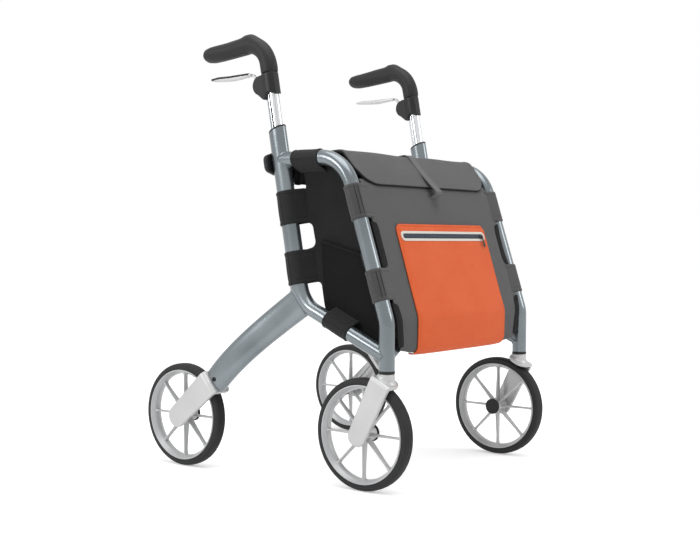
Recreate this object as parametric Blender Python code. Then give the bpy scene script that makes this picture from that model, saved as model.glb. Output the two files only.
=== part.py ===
"""Shopping rollator: two tube side frames, a folding cross brace, four wheels and a bag.

Metres, +Z up. The front is -Y, the sides are -X (left) and +X (right), and the wheels stand on Z = 0.
Side views are written as (y, z) pairs, and "out" means away from the middle plane X = 0.
"""
import math

import bmesh
import bpy
from mathutils import Matrix, Vector

# Clearances
CLEARANCE = 0.0003
CLOTH_CLEARANCE = 0.0005

# Wheels
WHEEL_RADIUS = 0.100
TYRE_WIDTH = 0.024
TYRE_THICKNESS = 0.012
RIM_WALL = 0.0085
RIM_PROUD = 0.0012
SPOKE_COUNT = 8
SPOKE_WIDTH_HUB = 0.0046
SPOKE_WIDTH_RIM = 0.0038
SPOKE_DEPTH_HUB = 0.014
SPOKE_DEPTH_RIM = 0.009
HUB_RADIUS = 0.0135
HUB_INBOARD = 0.0212
AXLE_RADIUS = 0.004
CAP_RADIUS = 0.0157
CAP_THICKNESS = 0.004
WHEEL_SIDES = 32

# Where the wheels stand
FRONT_HUB_Y = -0.208
REAR_HUB_Y = 0.208
FRAME_HALF_WIDTH = 0.228
REAR_HALF_TRACK = 0.262

# Side frame tubes
TUBE_RADIUS = 0.014
TUBE_WALL = 0.0027
TUBE_SIDES = 16
HANDLE_TUBE_DEPTH = 0.037
HANDLE_TUBE_WIDTH = 0.028
HANDLE_TUBE_WALL = 0.002
HANDLE_LEAN = math.radians(10.43)
TOP_TUBE_Z = 0.590
TOP_JOINT_Y = -0.0135
MOUTH_Z = 0.645
MOUTH_TILT = math.radians(13.6)
FOOT_BEND_RADIUS = 0.065
BOTTOM_SLOPE = math.radians(24.0)
HANDLE_BORE_FLOOR_Z = 0.385
POST_Y = -0.257
POST_BEND_Z = 0.299
POST_BEND_RADIUS = 0.060
POST_ABOVE_TYRE = 0.0146
POST_BOTTOM_Z = 2 * WHEEL_RADIUS + POST_ABOVE_TYRE
FOOT_ABOVE_POST = 0.1124
FOOT_Z = POST_BOTTOM_Z + FOOT_ABOVE_POST
FRONT_LEAN = math.radians(18.0)
TOP_BEND_RADIUS = 0.075

# Rear leg and rear fork
LEG_DEPTH_TOP = 0.057
LEG_DEPTH_FOOT = 0.051
LEG_THICKNESS = 0.025
LEG_BOW = 0.008
REAR_BLADE_ANGLE = math.radians(50.0)
REAR_BLADE_WIDTH_TOP = 0.051
REAR_BLADE_WIDTH_HUB = 0.043
REAR_BLADE_OVERRUN = 0.024
LEG_SCREW_FROM_END = 0.0075
SCREW_RADIUS = 0.002
SCREW_HEAD_RADIUS = 0.0045
SCREW_HEAD = 0.0028
SCREW_LENGTH = 0.003
SCREW_SINK = 0.002
REAR_SHOULDER = 0.0085
REAR_BRIDGE_INBOARD = 0.0225
REAR_BRIDGE_CORNER = 0.008

# Both forks
TYRE_TO_BRIDGE = 0.0035
BRIDGE_THICKNESS = 0.007
BLADE_THICKNESS = 0.0075
BLADE_TO_WHEEL_PLANE = 0.0155
BLADE_HOLE_DEPTH = 0.0055

# Front caster
FRONT_BLADE_WIDTH_TOP = 0.043
FRONT_BLADE_WIDTH_HUB = 0.038
FRONT_BLADE_OVERRUN = 0.020
FRONT_SHOULDER = 0.004
FRONT_BRIDGE_INBOARD = 0.0205
FRONT_BRIDGE_CORNER = 0.020
CASTER_HEAD_RADIUS = 0.014
CASTER_HEAD_FLARE = 0.0165
CASTER_STEM_RADIUS = 0.008
CASTER_STEM_HEIGHT = 0.055
CASTER_STEM_ROOM = 0.003
CASTER_BEARING_LENGTH = 0.024
RING_THICKNESS = 0.0043
RING_RADIUS = 0.0145
RING_SPIGOT_LENGTH = 0.012

# Handle: inner tube, collar, knob
INNER_TUBE_DEPTH = 0.026
INNER_TUBE_WIDTH = 0.019
INNER_TUBE_FOOT_Z = 0.445
GLIDER_LENGTH = 0.016
GRIP_CORE_RADIUS = 0.011
GRIP_CORNER_Z = 0.812
GRIP_BEND_RADIUS = 0.045
GRIP_SLOPE = math.radians(5.2)
GRIP_CORE_REACH = 0.138
GRIP_REACH = 0.157
GRIP_FOOT_Z = 0.752
GRIP_SIDES = 16
GRIP_FIT = 0.0006
COLLAR_FLANGE = 0.0022
COLLAR_SPIGOT = 0.020
KNOB_Z = 0.587
KNOB_RADIUS = 0.022
KNOB_THICKNESS = 0.0105
KNOB_STEM_RADIUS = 0.004
KNOB_LOBES = 5

# Brake
LEVER_PIVOT_Y = 0.038
LEVER_PIVOT_Z = 0.733
LEVER_PIN_RADIUS = 0.0025
LEVER_ARM_WIDTH = 0.006
LEVER_WIDTH = 0.014
LEVER_HUB = 0.006
LEVER_PIN_HALF = 0.011
HOUSING_WIDTH = 0.030
HOUSING_WALL = 0.0035
HOUSING_DISC = 0.018
PAD_LENGTH = 0.016
PAD_WIDTH = 0.012
PAD_GAP = 0.0026
PAD_POCKET_DEPTH = 0.022

# Cross brace
BRACE_LUG_REACH = 0.033
BRACE_PIVOT_HALF = FRAME_HALF_WIDTH - BRACE_LUG_REACH
BRACE_PIVOT_Z = 0.252
BRACE_ANGLE = math.radians(22.6)
BAR_WIDTH = 0.020
BAR_THICKNESS = 0.006
BRACE_LAYER_START = 0.0193
LUG_THICKNESS = 0.004
LUG_HEIGHT = 0.026
LUG_END_RADIUS = 0.0105
SADDLE_LIP = 0.009
STUD_RADIUS = 0.004
STUD_HEAD_RADIUS = 0.0075
STUD_HEAD = 0.002

# Bag
CLOTH = 0.0025
SLEEVE_WALL = 0.0025
PANEL_THICKNESS = 0.0021
COVER_AHEAD = 0.0115
COVER_GAP = 0.0045
COVER_TAPER = 0.0145
COVER_HALF_WIDTH = FRAME_HALF_WIDTH - TUBE_RADIUS - COVER_GAP
COVER_HALF_WIDTH_LOW = COVER_HALF_WIDTH - COVER_TAPER
COVER_CURL_HALF_WIDTH = 0.150
COVER_NARROW_Z = 0.330
COVER_UNDER_LID = 0.014
COVER_KNEE_Z = 0.304
COVER_FOOT_Y = -0.2645
COVER_BOTTOM_Z = 0.240
COVER_CURL = 0.026
FRONT_SLEEVES = ((0.540, 0.476), (0.391, 0.333))
REAR_SLEEVES = ((0.532, 0.468), (0.422, 0.366))
TOP_SLEEVE = (-0.041, -0.104)
BOTTOM_SLEEVE = (-0.124, -0.178)
BAG_SETBACK = 0.0355
BAG_FLOOR_Z = 0.250
BAG_FLOOR_LENGTH = 0.140
POCKET_CORNER = 0.014
POCKET_THICKNESS = 0.0018
POCKET_EDGE_REAR_Z = 0.438
POCKET_EDGE_FRONT_Z = 0.412
POCKET_HALF_WIDTH = 0.149
POCKET_TOP_Z = 0.470
ZIP_Z = 0.449
ZIP_HALF_WIDTH = 0.141
ZIP_HEIGHT = 0.0188
ZIP_SLOT_HALF_WIDTH = 0.1314
ZIP_SLOT_HEIGHT = 0.0094
ZIP_THICKNESS = 0.0015
SLIDER_X = 0.131
LID_GAP = 0.0042
LID_HALF_WIDTH = FRAME_HALF_WIDTH - TUBE_RADIUS - LID_GAP
LID_HINGE_Y = -0.075
LID_HINGE_Z = 0.597
LID_RIDGE_Y = -0.143
LID_RIDGE_Z = 0.603
LID_EDGE_Y = -0.191
LID_EDGE_Z = 0.5417
LID_RIDGE_RADIUS = 0.016
LID_CORNER = 0.047
STRAP_START = 0.020
STRAP_OVERHANG = 0.022
STRAP_WIDTH = 0.022
STRAP_THICKNESS = 0.002

LEFT = -1
RIGHT = 1
SIDE_NAMES = {LEFT: "left", RIGHT: "right"}


# Materials

def material(name, colour, roughness, metallic):
    """A Principled material with one colour."""
    found = bpy.data.materials.get(name)
    if found:
        return found
    made = bpy.data.materials.new(name)
    made.use_nodes = True
    shader = made.node_tree.nodes["Principled BSDF"]
    shader.inputs["Base Color"].default_value = (*colour, 1.0)
    shader.inputs["Roughness"].default_value = roughness
    shader.inputs["Metallic"].default_value = metallic
    made.diffuse_color = (*colour, 1.0)
    return made


def finishes():
    """Every finish on the object, by name."""
    return {
        "frame_paint": material("frame_paint", (0.205, 0.238, 0.258), 0.35, 0.7),
        "satin_silver": material("satin_silver", (0.62, 0.62, 0.62), 0.4, 0.3),
        "rim_silver": material("rim_silver", (0.55, 0.55, 0.55), 0.4, 0.2),
        "polished_tube": material("polished_tube", (0.75, 0.76, 0.78), 0.12, 1.0),
        "tyre_rubber": material("tyre_rubber", (0.035, 0.035, 0.036), 0.75, 0.0),
        "grip_rubber": material("grip_rubber", (0.045, 0.045, 0.047), 0.6, 0.0),
        "black_plastic": material("black_plastic", (0.03, 0.03, 0.03), 0.5, 0.0),
        "steel": material("steel", (0.5, 0.5, 0.5), 0.3, 1.0),
        "grey_fabric": material("grey_fabric", (0.1, 0.1, 0.1), 0.9, 0.0),
        "lid_fabric": material("lid_fabric", (0.15, 0.15, 0.15), 0.9, 0.0),
        "strap_webbing": material("strap_webbing", (0.22, 0.22, 0.22), 0.85, 0.0),
        "black_fabric": material("black_fabric", (0.025, 0.025, 0.025), 0.9, 0.0),
        "black_mesh": material("black_mesh", (0.012, 0.012, 0.012), 0.9, 0.0),
        "orange_fabric": material("orange_fabric", (0.69, 0.13, 0.045), 0.85, 0.0),
        "zip_surround": material("zip_surround", (0.66, 0.64, 0.59), 0.6, 0.0),
        "zip_tape": material("zip_tape", (0.045, 0.05, 0.075), 0.7, 0.0),
    }


# Shapes in plain mesh code

def new_mesh(bm, name="shape"):
    """A mesh from a bmesh, with its faces turned outwards."""
    bmesh.ops.remove_doubles(bm, verts=bm.verts, dist=1e-7)
    bmesh.ops.recalc_face_normals(bm, faces=bm.faces)
    mesh = bpy.data.meshes.new(name)
    bm.to_mesh(mesh)
    bm.free()
    return mesh


def loft(rings, closed=False):
    """A solid skinned over rings; closed joins the last ring to the first, else the ends are capped."""
    bm = bmesh.new()
    rows = [[bm.verts.new(point) for point in ring] for ring in rings]
    pairs = list(zip(rows, rows[1:]))
    if closed:
        pairs.append((rows[-1], rows[0]))
    for low, high in pairs:
        for k in range(len(low)):
            nxt = (k + 1) % len(low)
            bm.faces.new((low[k], low[nxt], high[nxt], high[k]))
    if not closed:
        bm.faces.new(rows[0])
        bm.faces.new(rows[-1])
    return new_mesh(bm)


def prism(outline, place, low, high):
    """An outline of (u, v) points pushed from low to high; place turns (u, v, w) to the world."""
    bottom = [place @ Vector((u, v, low)) for u, v in outline]
    top = [place @ Vector((u, v, high)) for u, v in outline]
    return loft([bottom, top])


def bevelled_prism(outline, place, half, bevel):
    """An outline pushed both ways from its plane, with its two rims bevelled."""
    mesh = prism(outline, place, -half, half)
    bm = bmesh.new()
    bm.from_mesh(mesh)
    count = len(outline)
    rims = [edge for edge in bm.edges if any(len(face.verts) == count for face in edge.link_faces)]
    bmesh.ops.bevel(bm, geom=rims, offset=bevel, segments=2, profile=0.5, affect="EDGES", clamp_overlap=True)
    return new_mesh(bm)


def turned(profile, place, sides, closed=False, phase=0.0):
    """A turned solid: profile points are (radius, height) about the w axis of place."""
    rings = []
    for radius, height in profile:
        ring = []
        for k in range(sides):
            a = phase + 2 * math.pi * k / sides
            ring.append(place @ Vector((radius * math.cos(a), radius * math.sin(a), height)))
        rings.append(ring)
    return loft(rings, closed)


def axes(origin, u, v, w):
    """A placing matrix with its origin and its three directions."""
    rows = Matrix((Vector(u), Vector(v), Vector(w))).transposed().to_4x4()
    rows.translation = Vector(origin)
    return rows


def rounded(corners, radii, step=math.radians(30)):
    """A closed outline with its corners rounded; radii is one value or one for each corner."""
    if not isinstance(radii, (list, tuple)):
        radii = [radii] * len(corners)
    points = []
    count = len(corners)
    for k in range(count):
        here = Vector(corners[k])
        radius = radii[k]
        if radius <= 0:
            points.append(here)
            continue
        back = (Vector(corners[k - 1]) - here).normalized()
        ahead = (Vector(corners[(k + 1) % count]) - here).normalized()
        half = back.angle(ahead) / 2
        reach = radius / math.tan(half)
        centre = here + (back + ahead).normalized() * (radius / math.sin(half))
        start = here + back * reach - centre
        end = here + ahead * reach - centre
        turn = start.angle_signed(end)
        steps = max(1, math.ceil(abs(turn) / step))
        for i in range(steps + 1):
            points.append(centre + turned_2d(start, -turn * i / steps))
    return points


def turned_2d(vector, angle):
    """A 2D vector turned anticlockwise."""
    c = math.cos(angle)
    s = math.sin(angle)
    return Vector((c * vector.x - s * vector.y, s * vector.x + c * vector.y))


def bent_path(corners, radii, step=math.radians(18)):
    """Points and directions along a bent tube: straight runs between corners, and an arc at each corner."""
    path = []
    last = len(corners) - 1
    for k, corner in enumerate(corners):
        here = Vector(corner)
        if k == 0:
            path.append((here, (Vector(corners[1]) - here).normalized()))
            continue
        if k == last:
            path.append((here, (here - Vector(corners[k - 1])).normalized()))
            continue
        into = (here - Vector(corners[k - 1])).normalized()
        out = (Vector(corners[k + 1]) - here).normalized()
        turn = -into.angle_signed(out)
        radius = radii[k - 1]
        reach = radius * math.tan(abs(turn) / 2)
        side = turned_2d(into, math.copysign(math.pi / 2, turn))
        start = here - into * reach
        centre = start + side * radius
        steps = max(2, math.ceil(abs(turn) / step))
        for i in range(steps + 1):
            a = turn * i / steps
            path.append((centre + turned_2d(start - centre, a), turned_2d(into, a)))
    return path


def side_ring(centre, along, x, half_depth, half_width, sides, power=2.0, slant=0.0, phase=0.0):
    """A ring round a path in a side view; depth lies in the side view and width along X.

    slant moves each point along the path by -slant times its depth, for a mouth cut at an angle.
    """
    across = Vector((along.y, -along.x))
    ring = []
    for k in range(sides):
        a = phase + 2 * math.pi * k / sides
        c = math.cos(a)
        s = math.sin(a)
        depth = half_depth * math.copysign(abs(c) ** (2 / power), c)
        width = half_width * math.copysign(abs(s) ** (2 / power), s)
        point = centre + across * depth - along * (slant * depth)
        ring.append(Vector((x + width, point.x, point.y)))
    return ring


def combined(base, others, operation="DIFFERENCE"):
    """base with other meshes cut away, added or kept in common, by exact Booleans."""
    body = bpy.data.objects.new("body", base)
    bpy.context.collection.objects.link(body)
    tools = []
    for mesh in others:
        tool = bpy.data.objects.new("tool", mesh)
        bpy.context.collection.objects.link(tool)
        step = body.modifiers.new("step", "BOOLEAN")
        step.operation = operation
        step.solver = "EXACT"
        step.object = tool
        tools.append(tool)
    graph = bpy.context.evaluated_depsgraph_get()
    result = bpy.data.meshes.new_from_object(body.evaluated_get(graph))
    for item in [body] + tools:
        bpy.data.objects.remove(item)
    return result


def piece(name, mesh, finish, origin=(0, 0, 0), parent=None):
    """A named object whose origin lies at a point of the world; the mesh is given in world coordinates."""
    offset = Vector(origin)
    mesh.transform(Matrix.Translation(-offset))
    mesh.name = name
    mesh.materials.clear()
    mesh.materials.append(finish)
    mesh.shade_smooth()
    mesh.set_sharp_from_angle(angle=math.radians(35))
    made = bpy.data.objects.new(name, mesh)
    bpy.context.collection.objects.link(made)
    made.location = offset
    if parent:
        made.parent = parent
        made.location = offset - parent.location
    return made


# Lines of the side frame, in side view

def handle_y(z):
    """Where the handle tube's axis is at a height."""
    return TOP_JOINT_Y + math.tan(HANDLE_LEAN) * (z - TOP_TUBE_Z)


def handle_point(z, along=0.0):
    """A point on the handle tube's axis, moved along it."""
    return Vector((handle_y(z), z)) + HANDLE_UP * along


def front_point(n, z):
    """A point at a height and at a distance n behind the plane of the front tubes."""
    y = POST_Y + (n + (z - POST_BEND_Z) * math.sin(FRONT_LEAN)) / math.cos(FRONT_LEAN)
    return Vector((y, z))


HANDLE_UP = Vector((math.sin(HANDLE_LEAN), math.cos(HANDLE_LEAN)))
HANDLE_BACK = Vector((math.cos(HANDLE_LEAN), -math.sin(HANDLE_LEAN)))
HANDLE_HALF = (HANDLE_TUBE_DEPTH / 2, HANDLE_TUBE_WIDTH / 2)
HANDLE_BORE = (HANDLE_HALF[0] - HANDLE_TUBE_WALL, HANDLE_HALF[1] - HANDLE_TUBE_WALL)
INNER_HALF = (INNER_TUBE_DEPTH / 2, INNER_TUBE_WIDTH / 2)
POST_BORE_RADIUS = TUBE_RADIUS - TUBE_WALL
STEM_TOP_Z = POST_BOTTOM_Z + CASTER_STEM_HEIGHT
BRIDGE_LOW = WHEEL_RADIUS + TYRE_TO_BRIDGE
BRIDGE_TOP = BRIDGE_LOW + BRIDGE_THICKNESS
LEG_END = BRIDGE_TOP + CLEARANCE
FRONT_BLADE_ANGLE = math.asin((FRONT_HUB_Y - POST_Y) / (BRIDGE_LOW + BRIDGE_THICKNESS / 2))
FOOT = Vector((handle_y(FOOT_Z), FOOT_Z))
BOTTOM_ALONG = Vector((-math.cos(BOTTOM_SLOPE), -math.sin(BOTTOM_SLOPE)))


def main_path():
    """The handle tube's axis from its mouth down, round the bend and forward to the post."""
    end = FOOT + BOTTOM_ALONG * ((FOOT.x - POST_Y) / math.cos(BOTTOM_SLOPE))
    return bent_path([handle_point(MOUTH_Z), FOOT, end], [FOOT_BEND_RADIUS])


def main_tube_rings(x, grow=0.0):
    """Rings of the main tube: oval in the handle, easing to round through the bend."""
    path = main_path()
    steps = len(path) - 3
    rings = []
    for k, (point, along) in enumerate(path):
        ease = min(max((k - 1) / steps, 0.0), 1.0)
        depth = HANDLE_HALF[0] * (1 - ease) + TUBE_RADIUS * ease
        width = HANDLE_HALF[1] * (1 - ease) + TUBE_RADIUS * ease
        slant = math.tan(MOUTH_TILT) if k == 0 else 0.0
        rings.append(side_ring(point, along, x, depth + grow, width + grow, TUBE_SIDES, slant=slant))
    return rings


def main_tube(side):
    """The handle tube and bottom tube, with the handle's bore and the hole for the height knob."""
    x = side * FRAME_HALF_WIDTH
    down = -HANDLE_UP
    floor = side_ring(handle_point(HANDLE_BORE_FLOOR_Z), down, x, *HANDLE_BORE, TUBE_SIDES)
    mouth = side_ring(handle_point(MOUTH_Z), down, x, *HANDLE_BORE, TUBE_SIDES, slant=math.tan(MOUTH_TILT))
    body = loft([floor, mouth] + main_tube_rings(x))
    hole_radius = KNOB_STEM_RADIUS + CLEARANCE
    hole = turned([(hole_radius, INNER_HALF[0]), (hole_radius, HANDLE_TUBE_DEPTH)], knob_frame(side), 12)
    post = loft(loop_tube_rings(x, CLEARANCE)[-2:])
    return combined(body, [hole, post])


def loop_path():
    """The loop tube's axis: back joint, top tube, front tube and caster post."""
    top = handle_point(TOP_TUBE_Z)
    corner = front_point(0.0, TOP_TUBE_Z)
    bend = Vector((POST_Y, POST_BEND_Z))
    foot = Vector((POST_Y, POST_BOTTOM_Z))
    return bent_path([top, corner, bend, foot], [TOP_BEND_RADIUS, POST_BEND_RADIUS])


def loop_tube_rings(x, grow=0.0):
    """Rings of the loop tube."""
    radius = TUBE_RADIUS + grow
    return [side_ring(point, along, x, radius, radius, TUBE_SIDES) for point, along in loop_path()]


def loop_tube(side):
    """Top tube, front tube and caster post in one bent tube, bored from below for the caster."""
    x = side * FRAME_HALF_WIDTH
    down = Vector((0.0, -1.0))
    mouth = Vector((POST_Y, POST_BOTTOM_Z))
    floor = Vector((POST_Y, STEM_TOP_Z + CASTER_STEM_ROOM))
    bore = [side_ring(p, down, x, POST_BORE_RADIUS, POST_BORE_RADIUS, TUBE_SIDES) for p in (mouth, floor)]
    body = loft(loop_tube_rings(x) + bore)
    handle_run = loft(main_tube_rings(x, CLEARANCE)[:2])
    return combined(body, [handle_run])


def hub_frame(side, hub_y, half_track, angle):
    """At a hub: u out from the middle plane, v up the blade, w rearwards across the blade."""
    up = (0, -math.sin(angle), math.cos(angle))
    back = (0, math.cos(angle), math.sin(angle))
    return axes((side * half_track, hub_y, WHEEL_RADIUS), (side, 0, 0), up, back)


def rear_frame(side):
    """The rear fork's frame at its hub."""
    return hub_frame(side, REAR_HUB_Y, REAR_HALF_TRACK, REAR_BLADE_ANGLE)


def front_frame(side):
    """The front fork's frame at its hub."""
    return hub_frame(side, FRONT_HUB_Y, FRAME_HALF_WIDTH, FRONT_BLADE_ANGLE)


def pad_outline(grow=0.0):
    """The brake pad's section across the blade's axis."""
    half_w = PAD_LENGTH / 2 + grow
    half_u = PAD_WIDTH / 2 + grow
    return [(-half_u, -half_w), (half_u, -half_w), (half_u, half_w), (-half_u, half_w)]


def along_blade(place):
    """The same frame turned so that its w runs up the blade: u out, v rearwards."""
    m = place.to_3x3()
    return axes(place.translation, m.col[0], m.col[2], m.col[1])


def leg_screw_frame(side):
    """At the leg's outer face beside its lower end, w pointing out."""
    place = rear_frame(side)
    origin = place @ Vector((0, LEG_END + LEG_SCREW_FROM_END, 0))
    return axes(origin, (0, 1, 0), (0, 0, 1), (side, 0, 0))


def rear_leg(side):
    """The bowed flat-oval leg from the main tube's bend to the rear fork."""
    path = main_path()
    start = path[1 + (len(path) - 3) // 2][0]
    place = rear_frame(side)
    foot = place @ Vector((0, LEG_END, 0))
    end = Vector((foot.y, foot.z))
    chord = end - start
    up = Vector((-chord.y, chord.x)).normalized()
    final = Vector((math.sin(REAR_BLADE_ANGLE), -math.cos(REAR_BLADE_ANGLE)))
    rings = []
    stations = 8
    for k in range(stations + 1):
        t = k / stations
        centre = start + chord * t + up * (LEG_BOW * 4 * t * (1 - t))
        along = (chord + up * (LEG_BOW * 4 * (1 - 2 * t))).normalized()
        along = along.lerp(final, t ** 3).normalized()
        spread = t * t * (3 - 2 * t)
        x = side * (FRAME_HALF_WIDTH * (1 - spread) + REAR_HALF_TRACK * spread)
        depth = (LEG_DEPTH_TOP * (1 - t) + LEG_DEPTH_FOOT * t) / 2
        rings.append(side_ring(centre, along, x, depth, LEG_THICKNESS / 2, TUBE_SIDES, power=2.8))
    pocket = prism(pad_outline(CLEARANCE), along_blade(place), LEG_END - CLEARANCE, LEG_END + PAD_POCKET_DEPTH)
    half = LEG_THICKNESS / 2
    screw_place = leg_screw_frame(side)
    seat_radius = SCREW_HEAD_RADIUS + CLEARANCE
    shank_radius = SCREW_RADIUS + CLEARANCE
    sink = half - SCREW_SINK
    seat = turned([(seat_radius, sink), (seat_radius, half * 2)], screw_place, 12)
    shank = turned([(shank_radius, sink - SCREW_LENGTH - CLEARANCE), (shank_radius, half)], screw_place, 12)
    tube = loft(main_tube_rings(side * FRAME_HALF_WIDTH, CLEARANCE))
    return combined(loft(rings), [tube, pocket, seat, shank])


def leg_screw(side):
    """The dark screw on the leg's outer face."""
    sink = LEG_THICKNESS / 2 - SCREW_SINK
    profile = [
        (SCREW_RADIUS, sink - SCREW_LENGTH),
        (SCREW_RADIUS, sink + CLEARANCE),
        (SCREW_HEAD_RADIUS, sink + CLEARANCE),
        (SCREW_HEAD_RADIUS, sink + SCREW_HEAD),
    ]
    return turned(profile, leg_screw_frame(side), 12)


def fork_shape(place, top_width, hub_width, overrun, shoulder, inboard, corner):
    """A one-sided fork: a bridge over the tyre, rounded at its inboard end, and a blade down the outer side."""
    outer = BLADE_TO_WHEEL_PLANE + BLADE_THICKNESS
    profile = rounded(
        [
            (-inboard, BRIDGE_LOW),
            (-inboard, BRIDGE_TOP),
            (outer, BRIDGE_TOP),
            (outer, -overrun),
            (BLADE_TO_WHEEL_PLANE, -overrun),
            (BLADE_TO_WHEEL_PLANE, BRIDGE_LOW),
        ],
        [BRIDGE_THICKNESS * 0.3, BRIDGE_THICKNESS * 0.3, shoulder, 0.001, 0.001, 0.0015],
    )
    past = BRIDGE_TOP + 0.005
    taper = (top_width - hub_width) / 2 / BRIDGE_TOP
    half_top = hub_width / 2 + taper * past
    half_low = hub_width / 2 - taper * overrun
    outline = rounded(
        [(-half_top, past), (half_top, past), (half_low, -overrun), (-half_low, -overrun)],
        [0, 0, hub_width * 0.42, hub_width * 0.28],
        math.radians(24),
    )
    m = place.to_3x3()
    side_on = axes(place.translation, m.col[2], m.col[1], m.col[0])
    plan = [(-inboard, -half_top), (outer * 2, -half_top), (outer * 2, half_top), (-inboard, half_top)]
    plan = rounded(plan, [corner, 0, 0, corner], math.radians(18))
    body = prism(profile, place, -top_width, top_width)
    side_cut = prism(outline, side_on, -inboard * 2, outer * 2)
    plan_cut = prism(plan, along_blade(place), -overrun * 2, past)
    return combined(body, [side_cut, plan_cut], "INTERSECT")


def wheel_axis(place):
    """The hub frame with w out along the axle, and u and v along Y and Z."""
    return axes(place.translation, (0, 1, 0), (0, 0, 1), place.to_3x3().col[0])


def blade_hole(place):
    """The blind hole for the axle's end in the blade's inner face."""
    radius = AXLE_RADIUS + CLEARANCE
    start = BLADE_TO_WHEEL_PLANE - CLEARANCE
    return turned([(radius, start), (radius, BLADE_TO_WHEEL_PLANE + BLADE_HOLE_DEPTH)], wheel_axis(place), 16)


def rear_fork(side):
    """The rear fork, with the hole in its bridge that the brake pad comes through."""
    place = rear_frame(side)
    widths = (REAR_BLADE_WIDTH_TOP, REAR_BLADE_WIDTH_HUB)
    bridge = (REAR_BRIDGE_INBOARD, REAR_BRIDGE_CORNER)
    body = fork_shape(place, *widths, REAR_BLADE_OVERRUN, REAR_SHOULDER, *bridge)
    hole = prism(pad_outline(CLEARANCE), along_blade(place), WHEEL_RADIUS, BRIDGE_TOP + CLEARANCE)
    return combined(body, [hole, blade_hole(place)])


def front_fork(side):
    """The caster fork: blade and bridge, the round head over the bridge and the stem in the post."""
    place = front_frame(side)
    widths = (FRONT_BLADE_WIDTH_TOP, FRONT_BLADE_WIDTH_HUB)
    bridge = (FRONT_BRIDGE_INBOARD, FRONT_BRIDGE_CORNER)
    body = fork_shape(place, *widths, FRONT_BLADE_OVERRUN, FRONT_SHOULDER, *bridge)
    x = side * FRAME_HALF_WIDTH
    head_top = POST_BOTTOM_Z - CLEARANCE - RING_THICKNESS - CLEARANCE

    def sloped_ring(radius, above):
        """A ring round the post's axis that lies on a plane above the hub, square to the blade."""
        ring = []
        for k in range(TUBE_SIDES):
            a = 2 * math.pi * k / TUBE_SIDES
            y = POST_Y + radius * math.cos(a)
            rise = (above + (y - FRONT_HUB_Y) * math.sin(FRONT_BLADE_ANGLE)) / math.cos(FRONT_BLADE_ANGLE)
            ring.append(Vector((x + radius * math.sin(a), y, WHEEL_RADIUS + rise)))
        return ring

    def flat_ring(radius, z):
        """A level ring round the post's axis."""
        return side_ring(Vector((POST_Y, z)), Vector((0.0, 1.0)), x, radius, radius, TUBE_SIDES)

    bearing_low = STEM_TOP_Z - CASTER_BEARING_LENGTH
    head = loft(
        [
            sloped_ring(CASTER_HEAD_FLARE, BRIDGE_TOP - BRIDGE_THICKNESS / 2),
            sloped_ring(CASTER_HEAD_FLARE, BRIDGE_TOP),
            sloped_ring(CASTER_HEAD_RADIUS, BRIDGE_TOP + BRIDGE_THICKNESS * 0.4),
            flat_ring(CASTER_HEAD_RADIUS, head_top),
            flat_ring(CASTER_STEM_RADIUS, head_top),
            flat_ring(CASTER_STEM_RADIUS, bearing_low),
            flat_ring(POST_BORE_RADIUS - CLEARANCE, bearing_low),
            flat_ring(POST_BORE_RADIUS - CLEARANCE, STEM_TOP_Z),
        ]
    )
    return combined(combined(body, [head], "UNION"), [blade_hole(place)])


def bearing_ring(side):
    """The black bush under the post: a flange with a spigot up the post's bore."""
    x = side * FRAME_HALF_WIDTH
    top = POST_BOTTOM_Z - CLEARANCE
    hole = CASTER_STEM_RADIUS + CLEARANCE
    spigot = POST_BORE_RADIUS - CLEARANCE
    profile = [
        (hole, top - RING_THICKNESS),
        (RING_RADIUS, top - RING_THICKNESS),
        (RING_RADIUS, top),
        (spigot, top),
        (spigot, top + RING_SPIGOT_LENGTH),
        (hole, top + RING_SPIGOT_LENGTH),
    ]
    return turned(profile, axes((x, POST_Y, 0), (0, 1, 0), (1, 0, 0), (0, 0, 1)), TUBE_SIDES, closed=True)


# Wheels

def tyre(place):
    """The solid tyre, whose facets touch the floor at the wheel's radius."""
    seat = WHEEL_RADIUS - TYRE_THICKNESS
    outer = WHEEL_RADIUS / math.cos(math.pi / WHEEL_SIDES)
    half = TYRE_WIDTH / 2
    profile = [
        (seat, -half * 0.94),
        (seat, half * 0.94),
        (outer - TYRE_THICKNESS * 0.34, half),
        (outer - TYRE_THICKNESS * 0.09, half * 0.68),
        (outer, half * 0.34),
        (outer, -half * 0.34),
        (outer - TYRE_THICKNESS * 0.09, -half * 0.68),
        (outer - TYRE_THICKNESS * 0.34, -half),
    ]
    return turned(profile, wheel_axis(place), WHEEL_SIDES, closed=True, phase=math.pi / WHEEL_SIDES)


def rim(place):
    """The deep rim with its spokes and its bored hub."""
    axis = wheel_axis(place)
    outer = WHEEL_RADIUS - TYRE_THICKNESS - CLEARANCE
    inner = outer - RIM_WALL
    half = TYRE_WIDTH / 2 + RIM_PROUD
    barrel = [
        (outer, -half),
        (outer, half),
        (inner + RIM_WALL * 0.2, half),
        (inner, half - RIM_WALL * 0.3),
        (inner, -half + RIM_WALL * 0.3),
        (inner + RIM_WALL * 0.2, -half),
    ]
    body = turned(barrel, axis, WHEEL_SIDES, closed=True, phase=math.pi / WHEEL_SIDES)
    bore = (AXLE_RADIUS + CLEARANCE) / math.cos(math.pi / 16)
    near = BLADE_TO_WHEEL_PLANE - CLEARANCE
    hub = [(bore, -HUB_INBOARD), (bore, near), (HUB_RADIUS, near), (HUB_RADIUS, -HUB_INBOARD)]
    parts = [turned(hub, axis, 16, closed=True)]
    for k in range(SPOKE_COUNT):
        parts.append(spoke(axis, 2 * math.pi * k / SPOKE_COUNT, inner))
    return combined(body, parts, "UNION")


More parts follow.
